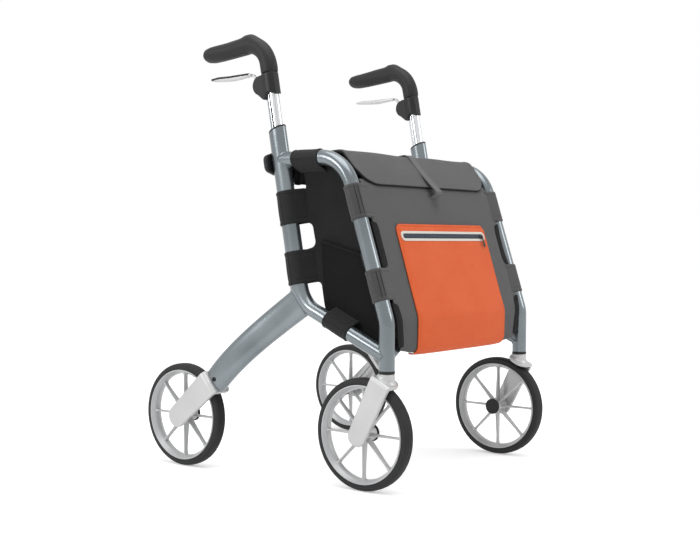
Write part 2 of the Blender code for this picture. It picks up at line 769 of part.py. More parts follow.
def spoke(axis, angle, inner):
    """One spoke from the hub to the barrel: a web, thin in the wheel's plane and deep along the axle."""
    along = Vector((math.cos(angle), math.sin(angle), 0))
    across = Vector((-math.sin(angle), math.cos(angle), 0))
    rings = []
    ends = [
        ((HUB_RADIUS + AXLE_RADIUS) / 2, SPOKE_WIDTH_HUB, SPOKE_DEPTH_HUB),
        (inner + RIM_WALL / 2, SPOKE_WIDTH_RIM, SPOKE_DEPTH_RIM),
    ]
    for reach, width, depth in ends:
        w = width / 2
        d = depth / 2
        section = [
            (w, 0.0), (0.45 * w, d), (-0.45 * w, d), (-w, 0.0), (-0.45 * w, -d), (0.45 * w, -d),
        ]
        rings.append([axis @ (along * reach + across * a + Vector((0, 0, h))) for a, h in section])
    return loft(rings)


def axle(place):
    """The axle bolt with the black cap on its inboard end."""
    start = -HUB_INBOARD - CLEARANCE
    profile = [
        (CAP_RADIUS * 0.9, start - CAP_THICKNESS),
        (CAP_RADIUS, start - CAP_THICKNESS * 0.7),
        (CAP_RADIUS, start),
        (AXLE_RADIUS, start),
        (AXLE_RADIUS, BLADE_TO_WHEEL_PLANE + BLADE_HOLE_DEPTH - CLEARANCE),
    ]
    return turned(profile, wheel_axis(place), 16)


def brake_pad(side):
    """The pad block that slides down through the rear fork's bridge."""
    low = WHEEL_RADIUS + PAD_GAP
    high = LEG_END + PAD_POCKET_DEPTH - CLEARANCE
    return prism(pad_outline(), along_blade(rear_frame(side)), low, high)


# Handle

def knob_frame(side):
    """On the handle tube's axis at the height knob: u across, v up the tube, w to the rear."""
    centre = handle_point(KNOB_Z)
    up = (0, HANDLE_UP.x, HANDLE_UP.y)
    back = (0, HANDLE_BACK.x, HANDLE_BACK.y)
    return axes((side * FRAME_HALF_WIDTH, centre.x, centre.y), (1, 0, 0), up, back)


def height_knob(side):
    """The lobed knob whose stem passes through the handle tube's rear wall."""
    place = knob_frame(side)
    start = HANDLE_HALF[0] + CLEARANCE * 2
    end = start + KNOB_THICKNESS
    lobes = []
    points = KNOB_LOBES * 6
    for k in range(points):
        a = 2 * math.pi * k / points
        r = KNOB_RADIUS * (0.93 + 0.07 * math.cos(KNOB_LOBES * a))
        lobes.append((r, a))
    rings = []
    edge = KNOB_THICKNESS * 0.25
    for shrink, w in ((0.86, start), (1.0, start + edge), (1.0, end - edge), (0.88, end)):
        rings.append([
            place @ Vector((r * shrink * math.cos(a), r * shrink * math.sin(a), w)) for r, a in lobes
        ])
    stem = turned([(KNOB_STEM_RADIUS, INNER_HALF[0] + CLEARANCE), (KNOB_STEM_RADIUS, end - 0.004)], place, 12)
    recess = turned([(KNOB_RADIUS * 0.5, end - 0.002), (KNOB_RADIUS * 0.55, end + 0.002)], place, 16)
    return combined(combined(loft(rings), [stem], "UNION"), [recess])


def tube_collar(side):
    """The plastic guide in the handle tube's mouth."""
    x = side * FRAME_HALF_WIDTH
    slant = math.tan(MOUTH_TILT)
    lip = (HANDLE_HALF[0], HANDLE_HALF[1])
    spigot = (HANDLE_BORE[0] - CLEARANCE, HANDLE_BORE[1] - CLEARANCE)
    hole = (INNER_HALF[0] + CLEARANCE, INNER_HALF[1] + CLEARANCE)
    stations = [
        (CLEARANCE + COLLAR_FLANGE, hole),
        (CLEARANCE + COLLAR_FLANGE, (lip[0] - 0.001, lip[1] - 0.001)),
        (CLEARANCE + COLLAR_FLANGE * 0.5, lip),
        (CLEARANCE, lip),
        (CLEARANCE, spigot),
        (-COLLAR_SPIGOT, spigot),
        (-COLLAR_SPIGOT, hole),
    ]
    rings = []
    for along, half in stations:
        rings.append(side_ring(handle_point(MOUTH_Z, along), HANDLE_UP, x, *half, TUBE_SIDES, slant=slant))
    return loft(rings, closed=True)


def grip_path(reach):
    """The handle's axis above the frame: up the inner tube, round the bend and back along the grip."""
    corner = handle_point(GRIP_CORNER_Z)
    back = Vector((math.cos(GRIP_SLOPE), -math.sin(GRIP_SLOPE)))
    return bent_path([handle_point(GRIP_FOOT_Z), corner, corner + back * reach], [GRIP_BEND_RADIUS])


def core_rings(x, grow=0.0):
    """Rings of the inner tube inside the grip: oval at the grip's foot, round from the bend on."""
    rings = []
    for k, (point, along) in enumerate(grip_path(GRIP_CORE_REACH + grow)):
        if k == 0:
            half = INNER_HALF
        else:
            half = (GRIP_CORE_RADIUS, GRIP_CORE_RADIUS)
        rings.append(side_ring(point, along, x, half[0] + grow, half[1] + grow, GRIP_SIDES))
    return rings


def inner_tube(side):
    """The sliding inner tube, with its glider at the foot and its bent core in the grip."""
    x = side * FRAME_HALF_WIDTH
    glider = (HANDLE_BORE[0] - CLEARANCE, HANDLE_BORE[1] - CLEARANCE)
    foot = handle_point(INNER_TUBE_FOOT_Z)
    rings = []
    for along, half in ((0, glider), (GLIDER_LENGTH, glider), (GLIDER_LENGTH, INNER_HALF)):
        rings.append(side_ring(foot + HANDLE_UP * along, HANDLE_UP, x, *half, GRIP_SIDES))
    return loft(rings + core_rings(x))


def grip(side):
    """The ergonomic grip: a sleeve over the core with a hump over the bend and a closed rear end."""
    x = side * FRAME_HALF_WIDTH
    path = grip_path(GRIP_REACH)
    bend = path[1:-1]
    corner = handle_point(GRIP_CORNER_Z)
    back = bend[-1][1]
    foot = path[0][0]
    stations = [
        (foot, HANDLE_UP, 0.0160, 0.0178, 0.0160),
        (foot + HANDLE_UP * 0.011, HANDLE_UP, 0.0160, 0.0180, 0.0160),
    ]
    last = len(bend) - 1
    for k, (point, along) in enumerate(bend):
        t = k / last
        hump = 0.0060 * math.exp(-(((t - 0.93) / 0.16) ** 2))
        stations.append((point, along, 0.0160 + 0.0016 * math.sin(math.pi * t), 0.0152 + hump, 0.0160))
    for reach, low, high, wide in (
        (0.052, 0.0168, 0.0176, 0.0162),
        (0.070, 0.0170, 0.0168, 0.0160),
        (0.092, 0.0170, 0.0158, 0.0168),
        (0.113, 0.0168, 0.0158, 0.0185),
        (0.133, 0.0160, 0.0158, 0.0190),
        (0.147, 0.0135, 0.0140, 0.0165),
        (0.154, 0.0085, 0.0090, 0.0105),
        (GRIP_REACH, 0.0030, 0.0030, 0.0040),
    ):
        stations.append((corner + back * reach, back, low, high, wide))
    outer = []
    for point, along, low, high, wide in stations:
        ring = side_ring(point, along, x, 1.0, wide, GRIP_SIDES)
        across = Vector((along.y, -along.x))
        shaped = []
        for corner_point in ring:
            flat = Vector((corner_point.y, corner_point.z))
            depth = (flat - point).dot(across)
            depth *= low if depth > 0 else high
            spot = point + across * depth
            shaped.append(Vector((corner_point.x, spot.x, spot.y)))
        outer.append(shaped)
    bore = core_rings(x, GRIP_FIT)
    return loft(list(reversed(bore)) + outer)


# Brake

def housing_outline():
    """The brake housing's side view, in distances behind and above the grip's foot on the handle's axis."""
    front = -(INNER_HALF[0] + HOUSING_WALL)
    tip = (0.0125, -0.0475)
    points = [(front, 0.0), (front, -0.036), (front - 0.001, -0.0415), (-0.0075, -0.0385), (0.002, -0.040), tip]
    centre = pivot_in_housing() + Vector((-0.0036, -0.0026))
    for degrees in (-58, -30, 0, 30, 58):
        a = math.radians(degrees)
        points.append((centre.x + HOUSING_DISC * math.cos(a), centre.y + HOUSING_DISC * math.sin(a)))
    points.append((0.0200, 0.0))
    return points


def housing_frame(side):
    """At the housing's top on the handle's axis: u behind the axis, v up it, w out."""
    centre = handle_point(GRIP_FOOT_Z, -CLEARANCE)
    back = (0, HANDLE_BACK.x, HANDLE_BACK.y)
    up = (0, HANDLE_UP.x, HANDLE_UP.y)
    return axes((side * FRAME_HALF_WIDTH, centre.x, centre.y), back, up, (side, 0, 0))


def pivot_in_housing():
    """The lever's pivot in the housing's own side view."""
    rel = Vector((LEVER_PIVOT_Y, LEVER_PIVOT_Z)) - handle_point(GRIP_FOOT_Z, -CLEARANCE)
    return Vector((rel.dot(HANDLE_BACK), rel.dot(HANDLE_UP)))


def lever_frame(side):
    """At the lever's pivot: u to the rear, v up, w out."""
    return axes((side * FRAME_HALF_WIDTH, LEVER_PIVOT_Y, LEVER_PIVOT_Z), (0, 1, 0), (0, 0, 1), (side, 0, 0))


def brake_housing(side):
    """The housing clamped on the inner tube, with the slot and the pin holes for the lever."""
    x = side * FRAME_HALF_WIDTH
    body = bevelled_prism(housing_outline(), housing_frame(side), HOUSING_WIDTH / 2, 0.0025)
    bore = []
    for along in (-0.06, 0.01):
        half = (INNER_HALF[0] + CLEARANCE, INNER_HALF[1] + CLEARANCE)
        bore.append(side_ring(handle_point(GRIP_FOOT_Z, along), HANDLE_UP, x, *half, GRIP_SIDES))
    slot_half = LEVER_ARM_WIDTH / 2 + 0.0005
    hub = LEVER_HUB + 0.0008
    slot = []
    for degrees in (95, 130, 165, 200, 235, 270, 305, 340):
        a = math.radians(degrees)
        slot.append((hub * math.cos(a), hub * math.sin(a)))
    reach = HOUSING_DISC * 2
    for degrees in (28, 72):
        a = math.radians(degrees)
        slot.append((reach * math.cos(a), reach * math.sin(a)))
    place = lever_frame(side)
    pin = LEVER_PIN_RADIUS + CLEARANCE
    half_pin = LEVER_PIN_HALF + CLEARANCE
    holes = turned([(pin, -half_pin), (pin, half_pin)], place, 12)
    return combined(body, [loft(bore), prism(slot, place, -slot_half, slot_half), holes])


def brake_lever(side):
    """The lever: hub and trunnions in the housing, a thin arm, and the finger blade below the grip."""
    place = lever_frame(side)
    half_arm = LEVER_ARM_WIDTH / 2
    hub = turned([(LEVER_HUB, -half_arm), (LEVER_HUB, half_arm)], place, 16)
    pin = turned([(LEVER_PIN_RADIUS, -LEVER_PIN_HALF), (LEVER_PIN_RADIUS, LEVER_PIN_HALF)], place, 12)
    arm = [
        (-0.002, 0.003), (0.003, -0.002), (0.0175, 0.0145), (0.026, 0.0175), (0.026, 0.0205), (0.0165, 0.0190)
    ]
    blade = [
        (0.0205, 0.0212), (0.0210, 0.0176), (0.0488, 0.0146), (0.0710, 0.0124), (0.0990, 0.0134),
        (0.1240, 0.0152), (0.1240, 0.0187), (0.1048, 0.0208), (0.0766, 0.0203), (0.0305, 0.0215),
    ]
    finger_blade = bevelled_prism(blade, place, LEVER_WIDTH / 2, 0.0010)
    return combined(hub, [prism(arm, place, -half_arm, half_arm), pin, finger_blade], "UNION")


# Cross brace

BRACE_CENTRE_N = BRACE_LAYER_START + BAR_THICKNESS + CLEARANCE
PLATE_HIGH = BRACE_LAYER_START - CLEARANCE
PLATE_LOW = PLATE_HIGH - LUG_THICKNESS
LAYER_B = BRACE_LAYER_START + BAR_THICKNESS + 2 * CLEARANCE
BAR_LENGTH = 2 * BRACE_PIVOT_HALF / math.cos(BRACE_ANGLE)
PIVOT_V = (BRACE_PIVOT_Z - POST_BEND_Z + BRACE_CENTRE_N * math.sin(FRONT_LEAN)) / math.cos(FRONT_LEAN)
REST_V = PIVOT_V + BAR_LENGTH * math.sin(BRACE_ANGLE)


def front_plane():
    """The plane of the front tubes' axes: u along X, v up the tubes, w square to it towards the rear."""
    up = (0, math.sin(FRONT_LEAN), math.cos(FRONT_LEAN))
    back = (0, math.cos(FRONT_LEAN), -math.sin(FRONT_LEAN))
    return axes((0, POST_Y, POST_BEND_Z), (1, 0, 0), up, back)


def brace_bar(side):
    """A flat bar from the lower pivot on its side to the rest on the other; left is the front layer."""
    plane = front_plane()
    low = BRACE_LAYER_START if side == LEFT else LAYER_B
    high = low + BAR_THICKNESS
    start = Vector((side * BRACE_PIVOT_HALF, PIVOT_V))
    along = Vector((-side * math.cos(BRACE_ANGLE), math.sin(BRACE_ANGLE)))
    across = Vector((-along.y, along.x))
    half = BAR_WIDTH / 2
    outline = []
    for centre, first in ((start, 90), (start + along * BAR_LENGTH, 270)):
        for k in range(9):
            a = math.radians(first + 22.5 * k)
            outline.append(centre + along * (half * math.cos(a)) + across * (half * math.sin(a)))
    body = prism(outline, plane, low, high)
    hole = STUD_RADIUS + CLEARANCE
    middle = start + along * (BAR_LENGTH / 2)
    cuts = []
    for point in (start, middle):
        cuts.append(turned([(hole, low - half), (hole, high + half)], moved(plane, point), 16))
    end = start + along * BAR_LENGTH
    pin = turned([(STUD_RADIUS, PLATE_LOW), (STUD_RADIUS, low + BAR_THICKNESS / 2)], moved(plane, end), 16)
    return combined(combined(body, cuts), [pin], "UNION")


def moved(plane, point):
    """The same frame with its origin at a (u, v) point of it."""
    return plane @ Matrix.Translation((point[0], point[1], 0))


def brace_pin(finish_low, finish_high):
    """The rivet at the bars' crossing."""
    middle = (0, (PIVOT_V + REST_V) / 2)
    profile = [
        (STUD_HEAD_RADIUS, finish_low - CLEARANCE - STUD_HEAD),
        (STUD_HEAD_RADIUS, finish_low - CLEARANCE),
        (STUD_RADIUS, finish_low - CLEARANCE),
        (STUD_RADIUS, finish_high + CLEARANCE),
        (STUD_HEAD_RADIUS, finish_high + CLEARANCE),
        (STUD_HEAD_RADIUS, finish_high + CLEARANCE + STUD_HEAD),
    ]
    return turned(profile, moved(front_plane(), middle), 16)


def brace_bracket(side):
    """The lug on the post, with the stud that its bar turns on."""
    plane = front_plane()
    root = FRAME_HALF_WIDTH - TUBE_RADIUS / 2
    outline = [(root, PIVOT_V + LUG_HEIGHT * 0.55)]
    for degrees in (90, 120, 150, 180, 210, 240, 262):
        a = math.radians(degrees)
        r = LUG_END_RADIUS
        outline.append((BRACE_PIVOT_HALF + r * math.cos(a), PIVOT_V + r * math.sin(a)))
    outline.append((root, PIVOT_V - LUG_HEIGHT * 0.85))
    outline = [(side * u, v) for u, v in outline]
    plate = prism(outline, plane, PLATE_LOW, PLATE_HIGH)
    plate = combined(plate, [loft(loop_tube_rings(side * FRAME_HALF_WIDTH, CLEARANCE))])
    low = BRACE_LAYER_START if side == LEFT else LAYER_B
    high = low + BAR_THICKNESS + CLEARANCE
    profile = [
        (STUD_HEAD_RADIUS, (PLATE_LOW + PLATE_HIGH) / 2),
        (STUD_HEAD_RADIUS, low - CLEARANCE),
        (STUD_RADIUS, low - CLEARANCE),
        (STUD_RADIUS, high),
        (STUD_HEAD_RADIUS, high),
        (STUD_HEAD_RADIUS, high + STUD_HEAD),
    ]
    if side == LEFT:
        profile[:2] = [(STUD_RADIUS, (PLATE_LOW + PLATE_HIGH) / 2)]
    stud = turned(profile, moved(plane, (side * BRACE_PIVOT_HALF, PIVOT_V)), 16)
    return combined(plate, [stud], "UNION")


def saddle(side):
    """The open cradle behind the front tube in which a bar's upper pin rests."""
    plane = front_plane()
    inner = BRACE_PIVOT_HALF - STUD_HEAD_RADIUS * 1.3
    root = FRAME_HALF_WIDTH
    slot = STUD_RADIUS + CLEARANCE * 2
    outline = [(root, REST_V + SADDLE_LIP), (BRACE_PIVOT_HALF + slot, REST_V + SADDLE_LIP)]
    for degrees in (0, -30, -60, -90, -120, -150, -180):
        a = math.radians(degrees)
        outline.append((BRACE_PIVOT_HALF + slot * math.cos(a), REST_V + slot * math.sin(a)))
    outline += [(BRACE_PIVOT_HALF - slot, REST_V + SADDLE_LIP), (inner, REST_V + SADDLE_LIP)]
    low = REST_V - slot - SADDLE_LIP
    outline += [(inner, REST_V - slot), (BRACE_PIVOT_HALF, low), (root, low)]
    outline = [(side * u, v) for u, v in outline]
    plate = prism(outline, plane, PLATE_LOW, PLATE_HIGH)
    return combined(plate, [loft(loop_tube_rings(side * FRAME_HALF_WIDTH, CLEARANCE))])


# Bag

def cloth_sheet(path, thickness, half_widths, columns=4, inward=1):
    """A sheet of cloth across X along a path in side view; one half width for each point of the path."""
    front = []
    back = []
    for (point, along), half in zip(path, half_widths):
        across = Vector((-along.y, along.x)) * inward
        front.append([(half * (2 * k / columns - 1), point) for k in range(columns + 1)])
        inner = point + across * thickness
        back.append([(half * (2 * k / columns - 1), inner) for k in range(columns + 1)])
    rings = []
    for row_front, row_back in zip(front, back):
        ring = row_front + list(reversed(row_back))
        rings.append([Vector((x, p.x, p.y)) for x, p in ring])
    return loft(rings)


def shifted(path, distance):
    """A path moved sideways, to the right of its direction."""
    return [(point + Vector((along.y, -along.x)) * distance, along) for point, along in path]


def subdivided(path, longest):
    """A path with extra points on its straight runs."""
    result = [path[0]]
    for (p, a), (q, b) in zip(path, path[1:]):
        pieces = max(1, math.ceil((q - p).length / longest))
        for k in range(1, pieces + 1):
            t = k / pieces
            result.append((p.lerp(q, t), b if k == pieces else a.lerp(b, t).normalized()))
    return result


def cover_path(ahead):
    """The front cover's outer face in side view, from under the lid down and round below."""
    lid_slope = (Vector((LID_RIDGE_Y, LID_RIDGE_Z)) - Vector((LID_EDGE_Y, LID_EDGE_Z))).normalized()
    lid_inside = Vector((lid_slope.y, -lid_slope.x)) * (CLOTH + CLOTH_CLEARANCE)
    start = Vector((LID_EDGE_Y, LID_EDGE_Z)) + lid_inside
    n = -COVER_AHEAD
    top = start + lid_slope * COVER_UNDER_LID
    under = (start.x - front_point(n, start.y).x) / (math.tan(FRONT_LEAN) - lid_slope.x / lid_slope.y)
    knee = front_point(n, start.y + under)
    low = front_point(n, COVER_KNEE_Z)
    foot = Vector((COVER_FOOT_Y, COVER_BOTTOM_Z))
    heel = Vector((COVER_FOOT_Y + COVER_CURL, COVER_BOTTOM_Z - 0.001))
    path = bent_path([top, knee, low, foot, heel], [0.015, 0.05, 0.014], math.radians(20))
    return shifted(path, ahead)


def cover_half_width(z):
    """The cover's half width at a height: drawn in between the bent lower posts."""
    if z > COVER_NARROW_Z:
        return COVER_HALF_WIDTH
    t = (COVER_NARROW_Z - z) / (COVER_NARROW_Z - COVER_BOTTOM_Z)
    return COVER_HALF_WIDTH + (COVER_HALF_WIDTH_LOW - COVER_HALF_WIDTH) * t


def sleeve(side, points, half, along):
    """A cloth sleeve round a straight tube, between two points of its axis."""
    x = side * FRAME_HALF_WIDTH
    inner = (half[0] + CLEARANCE, half[1] + CLEARANCE)
    outer = (inner[0] + SLEEVE_WALL, inner[1] + SLEEVE_WALL)
    rings = []
    for point, size in ((points[0], outer), (points[1], outer), (points[1], inner), (points[0], inner)):
        rings.append(side_ring(point, along, x, *size, TUBE_SIDES))
    return loft(rings, closed=True)


def bag_front():
    """The front cover with its two sleeves round each front tube."""
    path = subdivided(cover_path(0.0), 0.06)
    widths = [cover_half_width(point.y) for point, along in path]
    curl = [k for k, (point, along) in enumerate(path) if along.x > 0.35]
    for k in curl:
        widths[k] = min(widths[k], COVER_CURL_HALF_WIDTH)
    body = cloth_sheet(path, CLOTH, widths)
    extras = []
    plane = front_plane()
    up = Vector((math.sin(FRONT_LEAN), math.cos(FRONT_LEAN)))
    tube = (TUBE_RADIUS, TUBE_RADIUS)
    reach = FRAME_HALF_WIDTH - TUBE_RADIUS + CLOTH
    for side in (LEFT, RIGHT):
        for high, low in FRONT_SLEEVES:
            extras.append(sleeve(side, (front_point(0, low), front_point(0, high)), tube, up))
            v_low = (low - POST_BEND_Z) / math.cos(FRONT_LEAN) + CLOTH
            v_high = (high - POST_BEND_Z) / math.cos(FRONT_LEAN) - CLOTH
            inside = side * (COVER_HALF_WIDTH - 0.006)
            tab = [(inside, v_low), (side * reach, v_low), (side * reach, v_high), (inside, v_high)]
            extras.append(prism(tab, plane, -COVER_AHEAD + CLOTH * 0.1, -COVER_AHEAD + CLOTH * 0.8))
    return combined(body, extras, "UNION")


def pocket_panel():
    """The coloured pocket on the front cover."""
    path = subdivided(cover_path(CLOTH + CLOTH_CLEARANCE), 0.05)
    kept = [(point, along) for point, along in path if point.y < POCKET_TOP_Z - POCKET_CORNER]
    first_along = kept[0][1]
    ahead = -(COVER_AHEAD + CLOTH + CLOTH_CLEARANCE)
    rows = []
    for drop, narrow in ((0.0, 0.7), (0.15, 0.42), (0.5, 0.12), (1.0, 0.0)):
        point = front_point(ahead, POCKET_TOP_Z - drop * POCKET_CORNER)
        rows.append((point, first_along, narrow * POCKET_CORNER))
    widths = [POCKET_HALF_WIDTH - 0.003 - narrow for _, _, narrow in rows] + [POCKET_HALF_WIDTH] * len(kept)
    outline = [(point, along) for point, along, _ in rows] + kept
    return cloth_sheet(outline, CLOTH, widths)


def stadium(half_width, half_height, v, steps=6):
    """A slot outline round u = 0 at a height v."""
    points = []
    for centre, first in ((half_width - half_height, -90), (-(half_width - half_height), 90)):
        for k in range(steps + 1):
            a = math.radians(first + 180 * k / steps)
            points.append((centre + half_height * math.cos(a), v + half_height * math.sin(a)))
    return points


ZIP_BACK = -(COVER_AHEAD + CLOTH + CLOTH_CLEARANCE + CLEARANCE)
ZIP_V = (ZIP_Z - POST_BEND_Z + ZIP_BACK * math.sin(FRONT_LEAN)) / math.cos(FRONT_LEAN)


def zip_surround():
    """The pale welded frame round the zip."""
    plane = front_plane()
    outer = stadium(ZIP_HALF_WIDTH, ZIP_HEIGHT / 2, ZIP_V)
    inner = stadium(ZIP_SLOT_HALF_WIDTH, ZIP_SLOT_HEIGHT / 2, ZIP_V)
    front = ZIP_BACK - ZIP_THICKNESS
    rings = []
    for outline, n in ((outer, ZIP_BACK), (outer, front), (inner, front), (inner, ZIP_BACK)):
        rings.append([plane @ Vector((u, v, n)) for u, v in outline])
    return loft(rings, closed=True)


def zip_chain():
    """The closed zip in the slot of its surround."""
    outline = stadium(ZIP_SLOT_HALF_WIDTH - CLEARANCE, ZIP_SLOT_HEIGHT / 2 - CLEARANCE, ZIP_V)
    return prism(outline, front_plane(), ZIP_BACK - ZIP_THICKNESS * 0.5, ZIP_BACK)


def zip_slider():
    """The slider body on the chain and the puller that hangs in front of the surround."""
    plane = moved(front_plane(), (SLIDER_X - ZIP_SLOT_HEIGHT / 2, ZIP_V))
    back = ZIP_BACK - ZIP_THICKNESS * 0.5 - CLEARANCE
    front = back - 0.003
    half = ZIP_SLOT_HEIGHT / 2 - 0.0010
    square = [(-half, -half), (half, -half), (half, half), (-half, half)]
    body = prism(rounded(square, 0.001), plane, front, back)
    tab = rounded([(-0.0028, -0.023), (0.0028, -0.023), (0.0028, 0.002), (-0.0028, 0.002)], 0.0015)
    puller = prism(tab, plane, front - 0.0006, front + 0.0006)
    return combined(body, [puller], "UNION")


def lid_path():
    """The lid's outer face: from the rear hinge over the ridge and down the front flap."""
    hinge = Vector((LID_HINGE_Y, LID_HINGE_Z))
    ridge = Vector((LID_RIDGE_Y, LID_RIDGE_Z))
    edge = Vector((LID_EDGE_Y, LID_EDGE_Z))
    return bent_path([hinge, ridge, edge], [LID_RIDGE_RADIUS])


def lid():
    """The bag's lid, with large rounded corners on its front flap."""
    path = lid_path()
    edge = path[-1][0]
    along = path[-1][1]
    rows = path[:-1]
    widths = [LID_HALF_WIDTH] * len(rows)
    for share in (1.0, 0.7, 0.45, 0.25, 0.12, 0.03, 0.0):
        up = LID_CORNER * share
        rows.append((edge - along * up, along))
        inset = LID_CORNER - math.sqrt(max(LID_CORNER ** 2 - (LID_CORNER - up) ** 2, 0.0))
        widths.append(LID_HALF_WIDTH - inset)
    return cloth_sheet(rows, CLOTH, widths)


def lid_strap():
    """The webbing strap that runs over the lid and holds its front edge down."""
    path = lid_path()
    lift = CLEARANCE + STRAP_THICKNESS
    start = path[1][0] + Vector((STRAP_START, 0))
    edge = path[-1][0]
    along = path[-1][1]
    rows = [(start, path[0][1])] + path[1:-1] + [(edge - along * 0.010, along)]
    rows += [(edge + along * (STRAP_OVERHANG * 0.5), along), (edge + along * STRAP_OVERHANG, along)]
    return cloth_sheet(shifted(rows, lift), STRAP_THICKNESS, [STRAP_WIDTH / 2] * len(rows), columns=2)


def bag_body():
    """The inner bag: front wall behind the brace, floor along the bottom tubes and rear wall."""
    n = BAG_SETBACK
    bottom_along = Vector((math.cos(BOTTOM_SLOPE), math.sin(BOTTOM_SLOPE)))
    low_front = front_point(n, BAG_FLOOR_Z)
    low_rear = low_front + bottom_along * BAG_FLOOR_LENGTH
    top_front = front_point(n, LID_HINGE_Z - 0.010)
    top_rear = Vector((LID_HINGE_Y - CLOTH * 2, LID_HINGE_Z - CLOTH - CLOTH_CLEARANCE * 2))
    path = bent_path([top_front, low_front, low_rear, top_rear], [0.015, 0.020], math.radians(30))
    path = subdivided(path, 0.15)
    half = FRAME_HALF_WIDTH - TUBE_RADIUS - SLEEVE_WALL - CLEARANCE * 2 - CLOTH_CLEARANCE
    return cloth_sheet(path, CLOTH, [half] * len(path))


PANEL_OUTER = FRAME_HALF_WIDTH - TUBE_RADIUS - CLOTH_CLEARANCE
PANEL_INNER = PANEL_OUTER - PANEL_THICKNESS


def bottom_point(y, above=0.0):
    """A point above the bottom tube's axis."""
    return Vector((y, FOOT.y - math.tan(BOTTOM_SLOPE) * (FOOT.x - y) + above))


def side_panel(side):
    """The black side panel between the tubes, with its sleeves round the handle, top and bottom tubes."""
    upper, lower = REAR_SLEEVES
    front_n = PLATE_HIGH + CLEARANCE + CLOTH_CLEARANCE
    outline = [
        Vector((-0.043, TOP_TUBE_Z)),
        Vector((-0.052, 0.560)),
        Vector((-0.056, upper[0] + 0.004)),
        handle_point(upper[0] - 0.002),
        handle_point(upper[1] + 0.002),
        handle_point(upper[1] - 0.002) - HANDLE_BACK * 0.042,
        handle_point((upper[1] + lower[0]) / 2) - HANDLE_BACK * 0.052,
        handle_point(lower[0] + 0.002) - HANDLE_BACK * 0.042,
        handle_point(lower[0] - 0.002),
        handle_point(lower[1] + 0.004),
        handle_point(lower[1] + 0.002) - HANDLE_BACK * 0.047,
        Vector((-0.106, lower[1] - 0.022)),
        bottom_point(-0.112),
        bottom_point(-0.232),
        front_point(front_n, 0.262),
        front_point(front_n, TOP_TUBE_Z - 0.022),
        front_point(front_n + 0.012, TOP_TUBE_Z - 0.003),
    ]
    place = axes((0, 0, 0), (0, 1, 0), (0, 0, 1), (side, 0, 0))
    body = prism([(p.x, p.y) for p in outline], place, PANEL_INNER, PANEL_OUTER)
    oval = HANDLE_HALF
    round_tube = (TUBE_RADIUS, TUBE_RADIUS)
    rings = [
        sleeve(side, (handle_point(upper[0]), handle_point(upper[1])), oval, HANDLE_UP),
        sleeve(side, (handle_point(lower[0]), handle_point(lower[1])), oval, HANDLE_UP),
        sleeve(side, [Vector((y, TOP_TUBE_Z)) for y in TOP_SLEEVE], round_tube, Vector((-1.0, 0.0))),
        sleeve(side, [bottom_point(y) for y in BOTTOM_SLEEVE], round_tube, BOTTOM_ALONG),
    ]
    return combined(body, rings, "UNION")


def mesh_pocket(side):
    """The flat mesh pocket on the lower half of the side panel."""
    clear = TUBE_RADIUS + SLEEVE_WALL + CLOTH_CLEARANCE * 2
    front_n = max(PLATE_HIGH + CLEARANCE + CLOTH_CLEARANCE, clear)
    corner = bottom_point(0, clear / math.cos(BOTTOM_SLOPE))
    slope = math.tan(BOTTOM_SLOPE)
    low_front = front_point(front_n, 0.30)
    low_front = Vector((low_front.x, corner.y + slope * low_front.x))
    low_front = Vector((front_point(front_n, low_front.y).x, low_front.y))
    rear = Vector((-0.108, 0))
    outline = [
        Vector((-0.100, POCKET_EDGE_REAR_Z)),
        Vector((rear.x, corner.y + slope * rear.x + 0.004)),
        Vector((low_front.x + 0.002, corner.y + slope * (low_front.x + 0.002) + 0.004)),
        front_point(front_n, POCKET_EDGE_FRONT_Z),
    ]
    place = axes((0, 0, 0), (0, 1, 0), (0, 0, 1), (side, 0, 0))
    low = PANEL_OUTER + CLEARANCE
    return prism([(p.x, p.y) for p in outline], place, low, low + POCKET_THICKNESS)


# Assembly

def joint_empty(name, location):
    """An empty on a joint's axis, which carries the pieces that move with it."""
    made = bpy.data.objects.new(name, None)
    made.location = location
    bpy.context.collection.objects.link(made)
    return made


